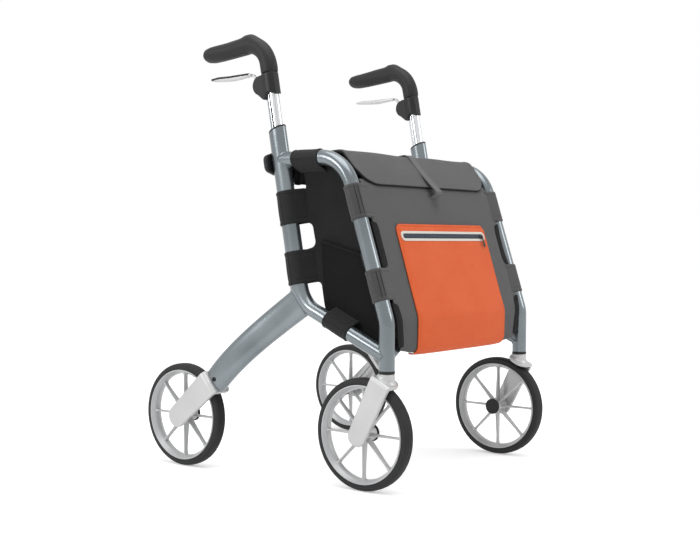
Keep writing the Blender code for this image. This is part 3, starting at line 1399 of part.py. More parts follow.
def build():
    """Every piece of the rollator."""
    for old in list(bpy.data.objects):
        bpy.data.objects.remove(old)
    paint = finishes()
    plane = front_plane()
    pivot_a = plane @ Vector((LEFT * BRACE_PIVOT_HALF, PIVOT_V, BRACE_CENTRE_N))
    pivot_b = plane @ Vector((RIGHT * BRACE_PIVOT_HALF, PIVOT_V, BRACE_CENTRE_N))
    crossing = plane @ Vector((0, (PIVOT_V + REST_V) / 2, BRACE_CENTRE_N))
    for side in (LEFT, RIGHT):
        tag = SIDE_NAMES[side]
        frame = joint_empty(f"frame_{tag}", pivot_a if side == LEFT else pivot_b)
        piece(f"main_tube_{tag}", main_tube(side), paint["frame_paint"], parent=frame)
        piece(f"loop_tube_{tag}", loop_tube(side), paint["frame_paint"], parent=frame)
        piece(f"rear_leg_{tag}", rear_leg(side), paint["frame_paint"], parent=frame)
        piece(f"tube_collar_{tag}", tube_collar(side), paint["black_plastic"], parent=frame)
        piece(f"leg_screw_{tag}", leg_screw(side), paint["black_plastic"], parent=frame)
        piece(f"bearing_ring_{tag}", bearing_ring(side), paint["black_plastic"], parent=frame)
        piece(f"rear_fork_{tag}", rear_fork(side), paint["satin_silver"], parent=frame)
        piece(f"brace_bracket_{tag}", brace_bracket(side), paint["frame_paint"], parent=frame)
        piece(f"brace_saddle_{tag}", saddle(side), paint["black_plastic"], parent=frame)
        piece(f"side_panel_{tag}", side_panel(side), paint["black_fabric"], parent=frame)
        piece(f"mesh_pocket_{tag}", mesh_pocket(side), paint["black_mesh"], parent=frame)

        x = side * FRAME_HALF_WIDTH
        mouth = handle_point(MOUTH_Z)
        handle = joint_empty(f"handle_{tag}", (x, mouth.x, mouth.y))
        piece(f"inner_tube_{tag}", inner_tube(side), paint["polished_tube"], parent=handle)
        piece(f"grip_{tag}", grip(side), paint["grip_rubber"], parent=handle)
        piece(f"brake_housing_{tag}", brake_housing(side), paint["black_plastic"], parent=handle)
        pivot = (x, LEVER_PIVOT_Y, LEVER_PIVOT_Z)
        piece(f"brake_lever_{tag}", brake_lever(side), paint["satin_silver"], pivot)
        knob_at = knob_frame(side).translation
        piece(f"height_knob_{tag}", height_knob(side), paint["black_plastic"], knob_at)

        rear = rear_frame(side)
        front = front_frame(side)
        pad_at = rear @ Vector((0, LEG_END, 0))
        piece(f"brake_pad_{tag}", brake_pad(side), paint["black_plastic"], pad_at)
        caster = joint_empty(f"caster_{tag}", (x, POST_Y, POST_BOTTOM_Z))
        piece(f"front_fork_{tag}", front_fork(side), paint["satin_silver"], parent=caster)
        piece(f"front_axle_{tag}", axle(front), paint["black_plastic"], front.translation)
        piece(f"rear_axle_{tag}", axle(rear), paint["black_plastic"], rear.translation)
        for end, place in (("front", front), ("rear", rear)):
            piece(f"{end}_rim_{tag}", rim(place), paint["rim_silver"], place.translation)
            piece(f"{end}_tyre_{tag}", tyre(place), paint["tyre_rubber"], place.translation)

    piece("brace_bar_a", brace_bar(LEFT), paint["steel"], pivot_a)
    piece("brace_bar_b", brace_bar(RIGHT), paint["steel"], crossing)
    piece("brace_pin", brace_pin(BRACE_LAYER_START, LAYER_B + BAR_THICKNESS), paint["steel"], crossing)
    piece("bag_front", bag_front(), paint["grey_fabric"])
    piece("bag_body", bag_body(), paint["black_fabric"])
    piece("pocket_panel", pocket_panel(), paint["orange_fabric"])
    piece("zip_surround", zip_surround(), paint["zip_surround"])
    piece("zip_chain", zip_chain(), paint["zip_tape"])
    piece("zip_slider", zip_slider(), paint["steel"])
    hinge = (0, LID_HINGE_Y, LID_HINGE_Z)
    piece("lid", lid(), paint["lid_fabric"], hinge)
    piece("lid_strap", lid_strap(), paint["strap_webbing"], hinge)


build()
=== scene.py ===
# %% [markdown]
# # Shopping rollator
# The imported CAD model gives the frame: every tube, wheel and cloth panel at its true place, in metres, with +Z up.
# The front, where the bag hangs, is -Y. The sides are called left (-X) and right (+X).
# This lesson builds the looks around that frame, one piece at a time. Most pieces are the same on both sides,
# so the left one is modelled and the right one is its mirror image.

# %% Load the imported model
import math

import bmesh
import bpy
from mathutils import Matrix, Vector


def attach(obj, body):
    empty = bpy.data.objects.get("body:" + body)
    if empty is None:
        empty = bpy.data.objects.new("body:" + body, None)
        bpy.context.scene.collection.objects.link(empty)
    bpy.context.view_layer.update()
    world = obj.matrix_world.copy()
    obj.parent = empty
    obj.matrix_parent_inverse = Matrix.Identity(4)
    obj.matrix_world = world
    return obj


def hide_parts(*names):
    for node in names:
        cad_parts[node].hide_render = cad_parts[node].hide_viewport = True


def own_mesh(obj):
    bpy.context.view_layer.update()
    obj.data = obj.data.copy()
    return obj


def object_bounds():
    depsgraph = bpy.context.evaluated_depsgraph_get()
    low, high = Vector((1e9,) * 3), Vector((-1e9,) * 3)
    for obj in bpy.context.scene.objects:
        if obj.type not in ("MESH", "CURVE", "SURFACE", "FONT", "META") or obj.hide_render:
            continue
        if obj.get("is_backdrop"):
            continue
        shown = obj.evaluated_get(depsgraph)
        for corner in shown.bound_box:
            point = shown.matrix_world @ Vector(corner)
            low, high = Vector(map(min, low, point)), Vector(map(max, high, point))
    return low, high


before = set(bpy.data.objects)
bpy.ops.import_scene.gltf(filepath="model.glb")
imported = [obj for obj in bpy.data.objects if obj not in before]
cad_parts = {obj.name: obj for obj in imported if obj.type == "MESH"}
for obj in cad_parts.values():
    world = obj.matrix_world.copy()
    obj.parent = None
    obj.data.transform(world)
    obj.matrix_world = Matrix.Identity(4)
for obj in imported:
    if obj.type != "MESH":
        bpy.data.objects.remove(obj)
cad_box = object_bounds()

# %% [markdown]
# ## Camera, floor and light
# The camera stands where the photographer stood: to the front left, a little above the middle of the object, with a
# long lens. The numbers come from lining up like points on both side frames, so the picture can be laid over the photo.
# The light is that of a white studio. A wide soft lamp hangs overhead, two smaller ones stand at the side and in
# front, and the world fills in. The floor is white for the camera but still takes the object's shadow.

# %% Camera
CAMERA_PLACE, CAMERA_LENS = Vector((-1.79603, -1.41410, 0.43826)), 58.10
CAMERA_TURN, CAMERA_DOWN, CAMERA_ROLL = math.radians(-51.697), math.radians(1.939), math.radians(0.0946)

bpy.ops.object.camera_add()
camera = bpy.context.object
turn = Matrix.Rotation(CAMERA_TURN, 4, "Z") @ Matrix.Rotation(math.pi / 2 - CAMERA_DOWN, 4, "X")
camera.matrix_world = Matrix.Translation(CAMERA_PLACE) @ turn @ Matrix.Rotation(CAMERA_ROLL, 4, "Z")
camera.data.sensor_width = 36
camera.data.lens = CAMERA_LENS
bpy.context.scene.camera = camera

# %% Lamps
LAMPS = {
    "lamp_overhead": ((-0.4, -0.3, 2.6), 2.0, 36),
    "lamp_left": ((-2.4, 1.1, 1.4), 0.7, 20),
    "lamp_front": ((1.2, -2.6, 1.5), 0.9, 16),
}
AIM = Vector((0, 0, 0.4))

for name, (place, size, power) in LAMPS.items():
    bpy.ops.object.light_add(type="AREA", location=place)
    lamp = bpy.context.object
    lamp.name = name
    lamp.data.size = size
    lamp.data.energy = power
    lamp.rotation_euler = (AIM - Vector(place)).to_track_quat("-Z", "Y").to_euler()

# %% [markdown]
# ## Shader maths
# A material's pattern is a sum of waves and noise. One small class wraps a socket so that such a sum can be written
# as plain Python, and a second one makes the nodes. Every pattern reads the piece's own coordinates in metres, or on
# cloth a UV map in metres, so a thread has the same size on every piece.

# %% Sockets as values
def operator(operation, reflected=False):
    """A method that adds one Math node to a signal."""

    def apply(self, *other):
        values = (*other, self) if reflected else (self, *other)
        return self.finish.node("ShaderNodeMath", {"operation": operation}, dict(enumerate(values)))

    return apply


class Signal:
    """The value of a socket. Sums with numbers or other signals add Math nodes."""

    def __init__(self, finish, socket):
        self.finish = finish
        self.socket = socket

    __add__, __radd__ = operator("ADD"), operator("ADD", reflected=True)
    __sub__, __rsub__ = operator("SUBTRACT"), operator("SUBTRACT", reflected=True)
    __mul__, __rmul__ = operator("MULTIPLY"), operator("MULTIPLY", reflected=True)
    __gt__, __abs__ = operator("GREATER_THAN"), operator("ABSOLUTE")
    sine, floor = operator("SINE"), operator("FLOOR")


class Finish:
    """A material that is built node by node."""

    def __init__(self, name):
        self.material = bpy.data.materials.new(name)
        self.material.use_nodes = True
        self.tree = self.material.node_tree
        self.surface = self.tree.nodes["Principled BSDF"]

    def node(self, kind, settings=None, inputs=None, output=0):
        made = self.tree.nodes.new(kind)
        for key, value in (settings or {}).items():
            if key == "stops":
                made.color_ramp.elements[0].position, made.color_ramp.elements[1].position = value
            else:
                setattr(made, key, value)
        for key, value in (inputs or {}).items():
            self.join(value, made.inputs[key])
        return Signal(self, made.outputs[output])

    def join(self, value, socket):
        if isinstance(value, Signal):
            self.tree.links.new(value.socket, socket)
        else:
            socket.default_value = value

    def surface_is(self, **values):
        for key, value in values.items():
            self.join(value, self.surface.inputs[key.replace("_", " ")])

    def stretched(self, spot, scale):
        return self.node("ShaderNodeMapping", {}, {"Vector": spot, "Scale": scale})

    def place(self, stretch=(1, 1, 1)):
        """The piece's own coordinates in metres, squeezed or stretched."""
        return self.stretched(self.node("ShaderNodeTexCoord", output="Object"), stretch)

    def cloth_place(self):
        """The cloth's UV map in metres, and its two parts, across and along."""
        flat = self.node("ShaderNodeUVMap", {"uv_map": "metres"})
        return flat, *(self.node("ShaderNodeSeparateXYZ", {}, {"Vector": flat}, axis) for axis in "XY")

    def grain(self, spot, scale, detail=3.0):
        inputs = {"Vector": spot, "Scale": scale, "Detail": detail, "Roughness": 0.55}
        return self.node("ShaderNodeTexNoise", {}, inputs)

    def between(self, share, first, second):
        """A colour between two colours."""
        inputs = {"Factor": share, 6: first, 7: second}
        return self.node("ShaderNodeMix", {"data_type": "RGBA"}, inputs, output=2)

    def contrast(self, value, low, high):
        """A value spread so that low becomes 0 and high becomes 1."""
        return self.node("ShaderNodeValToRGB", {"stops": (low, high)}, {"Fac": value})

    def bump(self, height, depth, below=None):
        inputs = {"Height": height, "Distance": depth, "Strength": 1.0}
        if below:
            inputs["Normal"] = below
        return self.node("ShaderNodeBump", {}, inputs)


def linear(code):
    """A colour written as on a paint card, such as 7d868a, in the numbers that a shader adds up."""
    values = [int(code[k:k + 2], 16) / 255 for k in (0, 2, 4)]
    return tuple(v / 12.92 if v <= 0.04045 else ((v + 0.055) / 1.055) ** 2.4 for v in values) + (1.0,)


def plain_grey(level):
    return level, level, level, 1

# %% [markdown]
# ## Floor and world
# A floor that is lit to almost white would need lamps that wash the object out. So the floor gives off some light of
# its own, and the world is white, but only where the camera or a mirror looks at them. Every other ray meets a pale
# grey floor and a dimmer world, so the lamps still draw the shadows.

# %% Floor
bpy.ops.mesh.primitive_plane_add(size=30, location=(0, 0, -0.0003))
floor = bpy.context.object
floor.name = "studio_floor"
ground = Finish("studio_floor")
seen, mirrored = (ground.node("ShaderNodeLightPath", output=f"Is {kind} Ray") for kind in ("Camera", "Glossy"))
out = ground.node("ShaderNodeTexCoord", output="Object")
far = ground.node("ShaderNodeVectorMath", {"operation": "LENGTH"}, {0: out}, "Value")
level = ground.between(ground.contrast(far * 0.3, 0.21, 0.75), plain_grey(0.39), plain_grey(0.50))
glow = ground.between(seen + mirrored, plain_grey(0), level)
ground.surface_is(Base_Color=plain_grey(0.95), Roughness=0.9, Specular_IOR_Level=0.0)
ground.surface_is(Emission_Color=glow, Emission_Strength=1.0)
floor.data.materials.append(ground.material)
floor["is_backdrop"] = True

# %% World
world = bpy.data.worlds.new("studio")
bpy.context.scene.world = world
world.use_nodes = True
sky = world.node_tree
fill_light, white = sky.nodes["Background"], sky.nodes.new("ShaderNodeBackground")
rays, either, mix = (sky.nodes.new(f"ShaderNode{kind}") for kind in ("LightPath", "Math", "MixShader"))
either.operation = "MAXIMUM"
for light, strength in ((fill_light, 0.57), (white, 1.0)):
    light.inputs["Color"].default_value = plain_grey(1)
    light.inputs["Strength"].default_value = strength
for source, target in (
    (rays.outputs["Is Camera Ray"], either.inputs[0]), (rays.outputs["Is Glossy Ray"], either.inputs[1]),
    (either.outputs[0], mix.inputs[0]), (fill_light.outputs[0], mix.inputs[1]), (white.outputs[0], mix.inputs[2]),
    (mix.outputs[0], sky.nodes["World Output"].inputs["Surface"]),
):
    sky.links.new(source, target)
bpy.context.scene.view_settings.view_transform = "Standard"
print("white studio with", len(LAMPS), "lamps")

# %% [markdown]
# ## Paint and metal
# The tubes are aluminium with a grey-blue metallic lacquer: a coloured base full of fine flakes under a clear coat.
# The forks are cast and sprayed silver, so they are duller and slightly pitted. The inner tube of each handle is
# bare and polished, with fine lines along its length from the drawing die.

# %% Lacquers and bare metal
def lacquer(name, colour, light, metallic, roughness, coat, grain_depth):
    finish = Finish(name)
    spot = finish.place()
    cloud = finish.contrast(finish.grain(spot, 9.0, 2.0), 0.3, 0.7)
    flakes = finish.contrast(finish.grain(spot, 2600.0, 1.0), 0.45, 0.72)
    shade = finish.between(cloud * 0.35 + flakes * 0.25, linear(colour), linear(light))
    dullness = roughness + (cloud - 0.5) * 0.06
    peel = finish.bump(finish.grain(spot, 260.0, 2.0), grain_depth)
    finish.surface_is(Base_Color=shade, Metallic=metallic, Roughness=dullness, Normal=peel)
    finish.surface_is(Coat_Weight=coat, Coat_Roughness=0.08)
    return finish.material


def polished(name):
    finish = Finish(name)
    drawn = finish.grain(finish.place((900, 900, 12)), 1.0)
    haze = finish.contrast(finish.grain(finish.place(), 40.0, 2.0), 0.35, 0.8)
    finish.surface_is(Base_Color=linear("d9dbde"), Metallic=1.0, Roughness=0.09 + haze * 0.06)
    finish.surface_is(Normal=finish.bump(drawn, 0.00001))
    return finish.material


frame_paint = lacquer("frame_paint", "687074", "959b9f", 0.80, 0.27, 0.30, 0.000012)
satin_silver = lacquer("satin_silver", "b8b8b8", "d2d2d2", 0.35, 0.42, 0.10, 0.00002)
rim_silver = lacquer("rim_silver", "b0b1b2", "c3c4c5", 0.25, 0.40, 0.10, 0.00002)
steel = lacquer("steel", "9a9b9c", "b4b5b6", 0.95, 0.34, 0.0, 0.00003)
dark_metal = lacquer("dark_metal", "3b3634", "5b524d", 0.85, 0.33, 0.0, 0.00003)
polished_tube = polished("polished_tube")
print("six metals")

# %% [markdown]
# ## Rubber and plastic
# Tyres, grips and fittings are all near black, but not alike. The tyre is dull and faintly dusty, the grip has the
# fine stipple of soft-touch rubber, and the moulded fittings have a spark-eroded skin that catches the light a little.
# The welded frame of the zip is the same kind of plastic, but pale.

# %% Moulded materials
def moulded(name, colour, dusty, roughness, stipple, depth):
    finish = Finish(name)
    spot = finish.place()
    dust = finish.contrast(finish.grain(spot, 26.0, 4.0), 0.4, 0.8)
    cells = finish.node("ShaderNodeTexVoronoi", {}, {"Vector": spot, "Scale": stipple})
    relief = finish.bump(cells * 0.6 + finish.grain(spot, stipple * 1.7, 2.0) * 0.4, depth)
    shade = finish.between(dust * 0.5, linear(colour), linear(dusty))
    finish.surface_is(Base_Color=shade, Roughness=roughness + dust * 0.08, Specular_IOR_Level=0.32, Normal=relief)
    return finish.material


tyre_rubber = moulded("tyre_rubber", "1d1d1e", "343435", 0.62, 900.0, 0.00008)
grip_rubber = moulded("grip_rubber", "19191a", "262627", 0.52, 1400.0, 0.00010)
black_plastic = moulded("black_plastic", "131314", "1f1f21", 0.42, 1100.0, 0.00005)
zip_frame = moulded("zip_surround", "d3d0c7", "dedbd3", 0.48, 1600.0, 0.00004)
print("rubber and plastics")

# %% [markdown]
# ## Cloth
# Woven cloth is two sets of threads that pass over and under each other. On a UV map in metres, one sine wave across
# each set gives the round of a thread, and the sign of their product says which thread is on top. A little noise,
# stretched along the threads, gives the mixed greys of spun yarn. The side pockets are net: a grid of small holes.

# %% Woven cloth
def woven(name, colour, light, pitch=0.00085, depth=0.00016, mix=0.5, sheen=0.15):
    finish = Finish(name)
    flat, across, along = finish.cloth_place()
    warp, weft = ((part * (math.pi / pitch)).sine() for part in (across, along))
    over = (warp * weft) > 0.0
    thread = abs(warp) * over + abs(weft) * (1 - over)
    yarn_up = finish.grain(finish.stretched(flat, (1 / pitch, 0.06 / pitch, 1)), 1.0, 2.0)
    yarn_over = finish.grain(finish.stretched(flat, (0.06 / pitch, 1 / pitch, 1)), 1.0, 2.0)
    spun_yarn = finish.contrast(yarn_up * over + yarn_over * (1 - over), 0.36, 0.66)
    cloud = finish.grain(flat, 14.0)
    # Painted shade: the colour follows each thread's round, darker where it dips under its neighbour, lighter on its
    # crest.
    share = spun_yarn * mix + (thread - 0.6) * 0.35 + (cloud - 0.5) * 0.4
    shade = finish.between(share, linear(colour), linear(light))
    relief = finish.bump(thread + spun_yarn * 0.3, depth, finish.bump(cloud, 0.0006))
    finish.surface_is(Base_Color=shade, Roughness=0.88, Specular_IOR_Level=0.25, Normal=relief)
    finish.surface_is(Sheen_Weight=sheen, Sheen_Roughness=0.5)
    return finish.material


grey_fabric = woven("grey_fabric", "4a4a4a", "606060")
lid_fabric = woven("lid_fabric", "4d4d4e", "626263")
black_fabric = woven("black_fabric", "161617", "262628", sheen=0.03)
orange_fabric = woven("orange_fabric", "d65018", "f07c3e", mix=0.45)
strap_webbing = woven("strap_webbing", "5c5c5d", "787879", pitch=0.0016, depth=0.0003)
black_binding = woven("black_binding", "0d0d0e", "1b1b1c", pitch=0.0012, depth=0.00025, sheen=0.02)
sleeve_fabric = woven("sleeve_fabric", "1e1e1f", "343435", sheen=0.05)
front_sleeve_fabric = woven("front_sleeve_fabric", "454444", "5a5959")
zip_tape = woven("zip_tape", "343a47", "4b5260", pitch=0.0016, depth=0.0003)
print("nine fabrics")

# %% Net
def net(name, colour, shaded_hole_colour, pitch):
    finish = Finish(name)
    across, along = (part * (1 / pitch) for part in finish.cloth_place()[1:])
    shifted = across + along.floor() * 0.5
    wave = (shifted * (2 * math.pi)).sine() + (along * (2 * math.pi)).sine()
    hole = finish.contrast(wave * 0.25 + 0.5, 0.62, 0.80)
    # Painted shade: the holes are not cut; their colour, darker than the black panel behind, stands for that panel seen
    # through the net, with painted shade on it.
    shade = finish.between(hole, linear(colour), linear(shaded_hole_colour))
    finish.surface_is(Base_Color=shade, Roughness=0.8, Specular_IOR_Level=0.15)
    finish.surface_is(Normal=finish.bump(1 - hole, 0.0005))
    return finish.material


black_mesh = net("black_mesh", "131314", "040405", 0.0034)
print("net")

# %% Finishes of the CAD parts that stay
for finish, nodes in (
    (steel, ("brace_bar_a", "brace_bar_b", "brace_pin")), (frame_paint, ("brace_bracket_left", "brace_bracket_right")),
    (black_plastic, ("brace_saddle_left", "brace_saddle_right")), (tyre_rubber, ("brake_pad_left", "brake_pad_right")),
):
    for node in nodes:
        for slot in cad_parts[node].material_slots:
            slot.material = finish
print(len(bpy.data.materials), "materials")

# %% [markdown]
# ## Modelling tools
# Most of this object is bent tube, and a bent tube is one ring of points carried along a path. The skin helper does
# what a hand would do: it adds a circle, then extrudes its edge once for every ring and lays the new points in place.
# Wheels are spun instead, and cloth starts as a flat grid that is laid over a curved shape. The left piece of each
# pair is modelled, and its copy is turned over in X for the right.

# %% Selecting, editing and applying
def start_fresh():
    """Leave edit mode and deselect everything, the CAD nodes too."""
    if bpy.context.mode != "OBJECT":
        bpy.ops.object.mode_set(mode="OBJECT")
    bpy.ops.object.select_all(action="DESELECT")


def choose(piece):
    start_fresh()
    piece.select_set(True)
    bpy.context.view_layer.objects.active = piece


def edit_all(piece, *jobs):
    """Run mesh operators in edit mode, each on the whole mesh."""
    choose(piece)
    bpy.ops.object.mode_set(mode="EDIT")
    for job, settings in jobs:
        bpy.ops.mesh.select_all(action="SELECT")
        job(**settings)
    bpy.ops.object.mode_set(mode="OBJECT")


def apply_modifier(piece, kind, **settings):
    choose(piece)
    bpy.ops.object.modifier_add(type=kind)
    step = piece.modifiers[-1]
    for key, value in settings.items():
        setattr(step, key, value)
    bpy.ops.object.modifier_apply(modifier=step.name)


def round_rim(piece, width, sharp=40):
    apply_modifier(piece, "BEVEL", width=width, segments=3, limit_method="ANGLE", angle_limit=math.radians(sharp))


def melt(piece, cube, rounds):
    """Make one skin of overlapping solids, with soft fillets where they meet."""
    apply_modifier(piece, "REMESH", mode="VOXEL", voxel_size=cube, use_smooth_shade=True)
    apply_modifier(piece, "SMOOTH", factor=0.5, iterations=rounds)


FILL_ENDS = (bpy.ops.mesh.fill_holes, {"sides": 0})
FACE_OUT = (bpy.ops.mesh.normals_make_consistent, {"inside": False})


def merge(threshold):
    return bpy.ops.mesh.remove_doubles, {"threshold": threshold}


def close_up(piece):
    """Merge doubled points, drop stray edges, fill open ends and turn every face outwards."""
    loose = (bpy.ops.mesh.delete_loose, {"use_verts": True, "use_edges": True, "use_faces": False})
    edit_all(piece, merge(1e-6), loose, FILL_ENDS, FACE_OUT)

# %% Skinning, spinning and joining
def skin(name, rings, loop=False):
    """A solid skinned over rings of points; a loop comes back to its first ring, else the ends are filled."""
    start_fresh()
    bpy.ops.mesh.primitive_circle_add(vertices=len(rings[0]), radius=1)
    piece = bpy.context.object
    piece.name = name
    piece.data.attributes.new("turn", "INT", "POINT").data.foreach_set("value", list(range(len(rings[0]))))
    bpy.ops.object.mode_set(mode="EDIT")
    bpy.ops.mesh.select_all(action="SELECT")
    for row, ring in enumerate(rings + rings[:1] if loop else rings):
        if row:
            bpy.ops.mesh.extrude_edges_indiv()
        shape = bmesh.from_edit_mesh(piece.data)
        turn = shape.verts.layers.int["turn"]
        for vertex in shape.verts:
            if vertex.select:
                vertex.co = ring[vertex[turn]]
    close_up(piece)
    piece.data.attributes.remove(piece.data.attributes["turn"])
    return piece


def spun(name, profile, place, steps=96):
    """A turned piece: a closed outline of (radius, out) points is spun once about the w axis of its place."""
    start_fresh()
    bpy.ops.mesh.primitive_circle_add(vertices=len(profile), radius=1)
    piece = bpy.context.object
    piece.name = name
    for vertex, (radius, out) in zip(piece.data.vertices, profile):
        vertex.co = place @ Vector((radius, 0, out))
    once = {"steps": steps, "angle": 2 * math.pi, "center": place.translation, "axis": place.to_3x3().col[2]}
    edit_all(piece, (bpy.ops.mesh.spin, once))
    close_up(piece)
    return piece


def joined(name, pieces):
    choose(pieces[0])
    for piece in pieces[1:]:
        piece.select_set(True)
    bpy.ops.object.join()
    pieces[0].name = name
    return pieces[0]

# %% Finishing a piece
def settle(piece, finish, slot, body, *stands_for):
    """Shade a finished piece, give it its material and its body, and hide the CAD nodes that it stands for."""
    choose(piece)
    bpy.ops.object.shade_smooth_by_angle(angle=math.radians(33))
    piece.data.materials.clear()
    piece.data.materials.append(finish)
    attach(piece, body)
    if stands_for:
        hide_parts(*stands_for)


def both_sides(piece, finish, slot, body, *stands_for):
    """Settle a left-hand piece and its mirror image; body and node names are given without their side."""
    choose(piece)
    bpy.ops.object.duplicate()
    twin = bpy.context.object
    twin.data.transform(Matrix.Scale(-1, 4, (1, 0, 0)))
    twin.data.flip_normals()
    name = piece.name
    for item, side in ((piece, "left"), (twin, "right")):
        item.name = f"{name}_{side}"
        settle(item, finish, slot, f"{body}_{side}", *(f"{node}_{side}" for node in stands_for))

# %% [markdown]
# ## Lines of the frame
# In side view the frame is drawn as (y, z) points. One path runs down the handle tube, round the foot bend and
# forward to the caster post. The other starts at the handle, runs forward, and turns down to become the front tube and
# the post. Each corner of a path becomes an arc, in steps of a few degrees so that the bend looks round.

# %% Side view
HALF_WIDTH, TUBE, OVAL = 0.228, 0.014, 0.0185
MOUTH_Z, TOP_Z, KNEE_Z, POST_END, POST_Y = 0.645, 0.590, 0.299, 0.2146, -0.257
WHEEL_RADIUS, AXLE_Y = 0.100, 0.208
LEAN, FRONT_LEAN, BOTTOM_SLOPE = math.radians(10.43), math.radians(18), math.radians(24)
HANDLE_UP = Vector((math.sin(LEAN), math.cos(LEAN)))
HANDLE_BACK = Vector((math.cos(LEAN), -math.sin(LEAN)))
DOWN = Vector((0, -1))


def handle_point(z, along=0.0):
    """A point on the handle tube's axis, moved along it."""
    return Vector((-0.0135 + math.tan(LEAN) * (z - TOP_Z), z)) + HANDLE_UP * along


def front_point(n, z):
    """A point at a height and at a distance n behind the plane of the front tubes."""
    return Vector((POST_Y + (n + (z - KNEE_Z) * math.sin(FRONT_LEAN)) / math.cos(FRONT_LEAN), z))


def rotated(vector, angle):
    return Vector((
        math.cos(angle) * vector.x - math.sin(angle) * vector.y,
        math.sin(angle) * vector.x + math.cos(angle) * vector.y,
    ))


def beside(along):
    """The direction to the right of a side-view direction."""
    return Vector((along.y, -along.x))


def in_space(x, flat):
    """A side-view point placed at its distance from the middle of the object."""
    return Vector((x, flat.x, flat.y))


def turns(count, shift=0.0):
    """Cosine and sine of even steps round a circle."""
    angles = [2 * math.pi * (k + shift) / count for k in range(count)]
    return [(math.cos(angle), math.sin(angle)) for angle in angles]


def squared(value, power):
    """A cosine or sine to a power, with its sign; below 1 it squares up a round section."""
    return math.copysign(abs(value) ** power, value)


def clamp(value):
    return min(max(value, 0.0), 1.0)


def dip(value, at, width):
    """A smooth bump of height 1 at a value."""
    return math.exp(-(((value - at) / width) ** 2))


def bent_path(corners, radii, step=math.radians(4)):
    """Points and directions along a bent tube: straight runs, and an arc at each inner corner."""
    path = [(corners[0], (corners[1] - corners[0]).normalized())]
    for before, here, after, radius in zip(corners, corners[1:], corners[2:], radii):
        into, out = (here - before).normalized(), (after - here).normalized()
        turn = -into.angle_signed(out)
        start = here - into * radius * math.tan(abs(turn) / 2)
        centre = start + rotated(into, math.copysign(math.pi / 2, turn)) * radius
        steps = max(2, math.ceil(abs(turn) / step))
        for k in range(steps + 1):
            angle = turn * k / steps
            path.append((centre + rotated(start - centre, angle), rotated(into, angle)))
    path.append((corners[-1], (corners[-1] - corners[-2]).normalized()))
    return path


def tube_ring(centre, along, x, depth, width, sides=48, power=2.0, slant=0.0):
    """A ring round a path; depth lies in the side view, width along X, and slant cuts the end at an angle."""
    ring = []
    for c, s in turns(sides):
        out = depth * squared(c, 2 / power)
        flat = centre + beside(along) * out - along * (slant * out)
        ring.append(in_space(x + width * squared(s, 2 / power), flat))
    return ring


FOOT = handle_point(0.327)
BOTTOM_ALONG = Vector((-math.cos(BOTTOM_SLOPE), -math.sin(BOTTOM_SLOPE)))
main_path = bent_path(
    [handle_point(MOUTH_Z), FOOT, FOOT + BOTTOM_ALONG * ((FOOT.x - POST_Y) / math.cos(BOTTOM_SLOPE))], [0.065]
)
loop_path = bent_path(
    [handle_point(TOP_Z), front_point(0, TOP_Z), Vector((POST_Y, KNEE_Z)), Vector((POST_Y, POST_END))], [0.075, 0.060]
)
print("tube paths of", len(main_path), "and", len(loop_path), "points")

# %% [markdown]
# ## Handle tube and bottom tube
# One tube is bent at the foot. Its handle run is pressed to an oval so that the inner tube can't turn in it, and it
# eases back to round in the bend. The mouth is cut at a slant, so the ring there is slanted too, and the rings go on
# down inside as the bore. At the post the end is cut to the post's round: each point of the last ring is moved along
# the tube until it meets the post, which is how the real tube is coped before it is welded.

# %% Coped ends
def coped(ring, along, reach):
    """A ring moved along the tube, each point by the distance that reach gives for its place."""
    step = Vector((0, along.x, along.y))
    return [point + step * reach(point) for point in ring]


def to_post(point):
    side = point.x + HALF_WIDTH
    wall = POST_Y + math.sqrt(max(TUBE ** 2 - side ** 2, 0))
    return (point.y - wall) / math.cos(BOTTOM_SLOPE) + 0.0008


def to_handle(point):
    side = (point.x + HALF_WIDTH) / TUBE
    wall = handle_point(point.z).x - OVAL * math.sqrt(max(1 - side ** 2, 0)) / math.cos(LEAN)
    return wall - point.y + 0.0008

# %% Main tube
def oval_of(share):
    """The tube's half depth and half width, from the handle's oval (0) to the round tube (1)."""
    return OVAL + (TUBE - OVAL) * share, TUBE


MOUTH_SLANT = math.tan(math.radians(13.6))
main_rings = [tube_ring(handle_point(0.385), -HANDLE_UP, -HALF_WIDTH, 0.0165, 0.012)]
for along, shrink in ((-0.0012, 0.0020), (0, 0.0014), (0, 0.0005), (-0.0006, 0)):
    spot = handle_point(MOUTH_Z, along)
    main_rings.append(tube_ring(spot, -HANDLE_UP, -HALF_WIDTH, OVAL - shrink, TUBE - shrink, slant=MOUTH_SLANT))
bend_steps = len(main_path) - 3
for k, (point, along) in enumerate(main_path[1:-1]):
    ease = k / bend_steps
    main_rings.append(tube_ring(point, along, -HALF_WIDTH, *oval_of(ease * ease * (3 - 2 * ease))))
last_ring = tube_ring(main_path[-2][0], BOTTOM_ALONG, -HALF_WIDTH, TUBE, TUBE)
main_rings.append(coped(last_ring, BOTTOM_ALONG, to_post))
main_tube = skin("bent_handle_tube", main_rings)
print("main tube:", len(main_tube.data.vertices), "points")

# %% [markdown]
# ## Top tube, front tube and post
# The second tube is bent twice. Its back end is coped to the oval of the handle tube, and its lower end is open: the
# caster's bearing sits in it, so the rings turn in and go a little way up the bore.

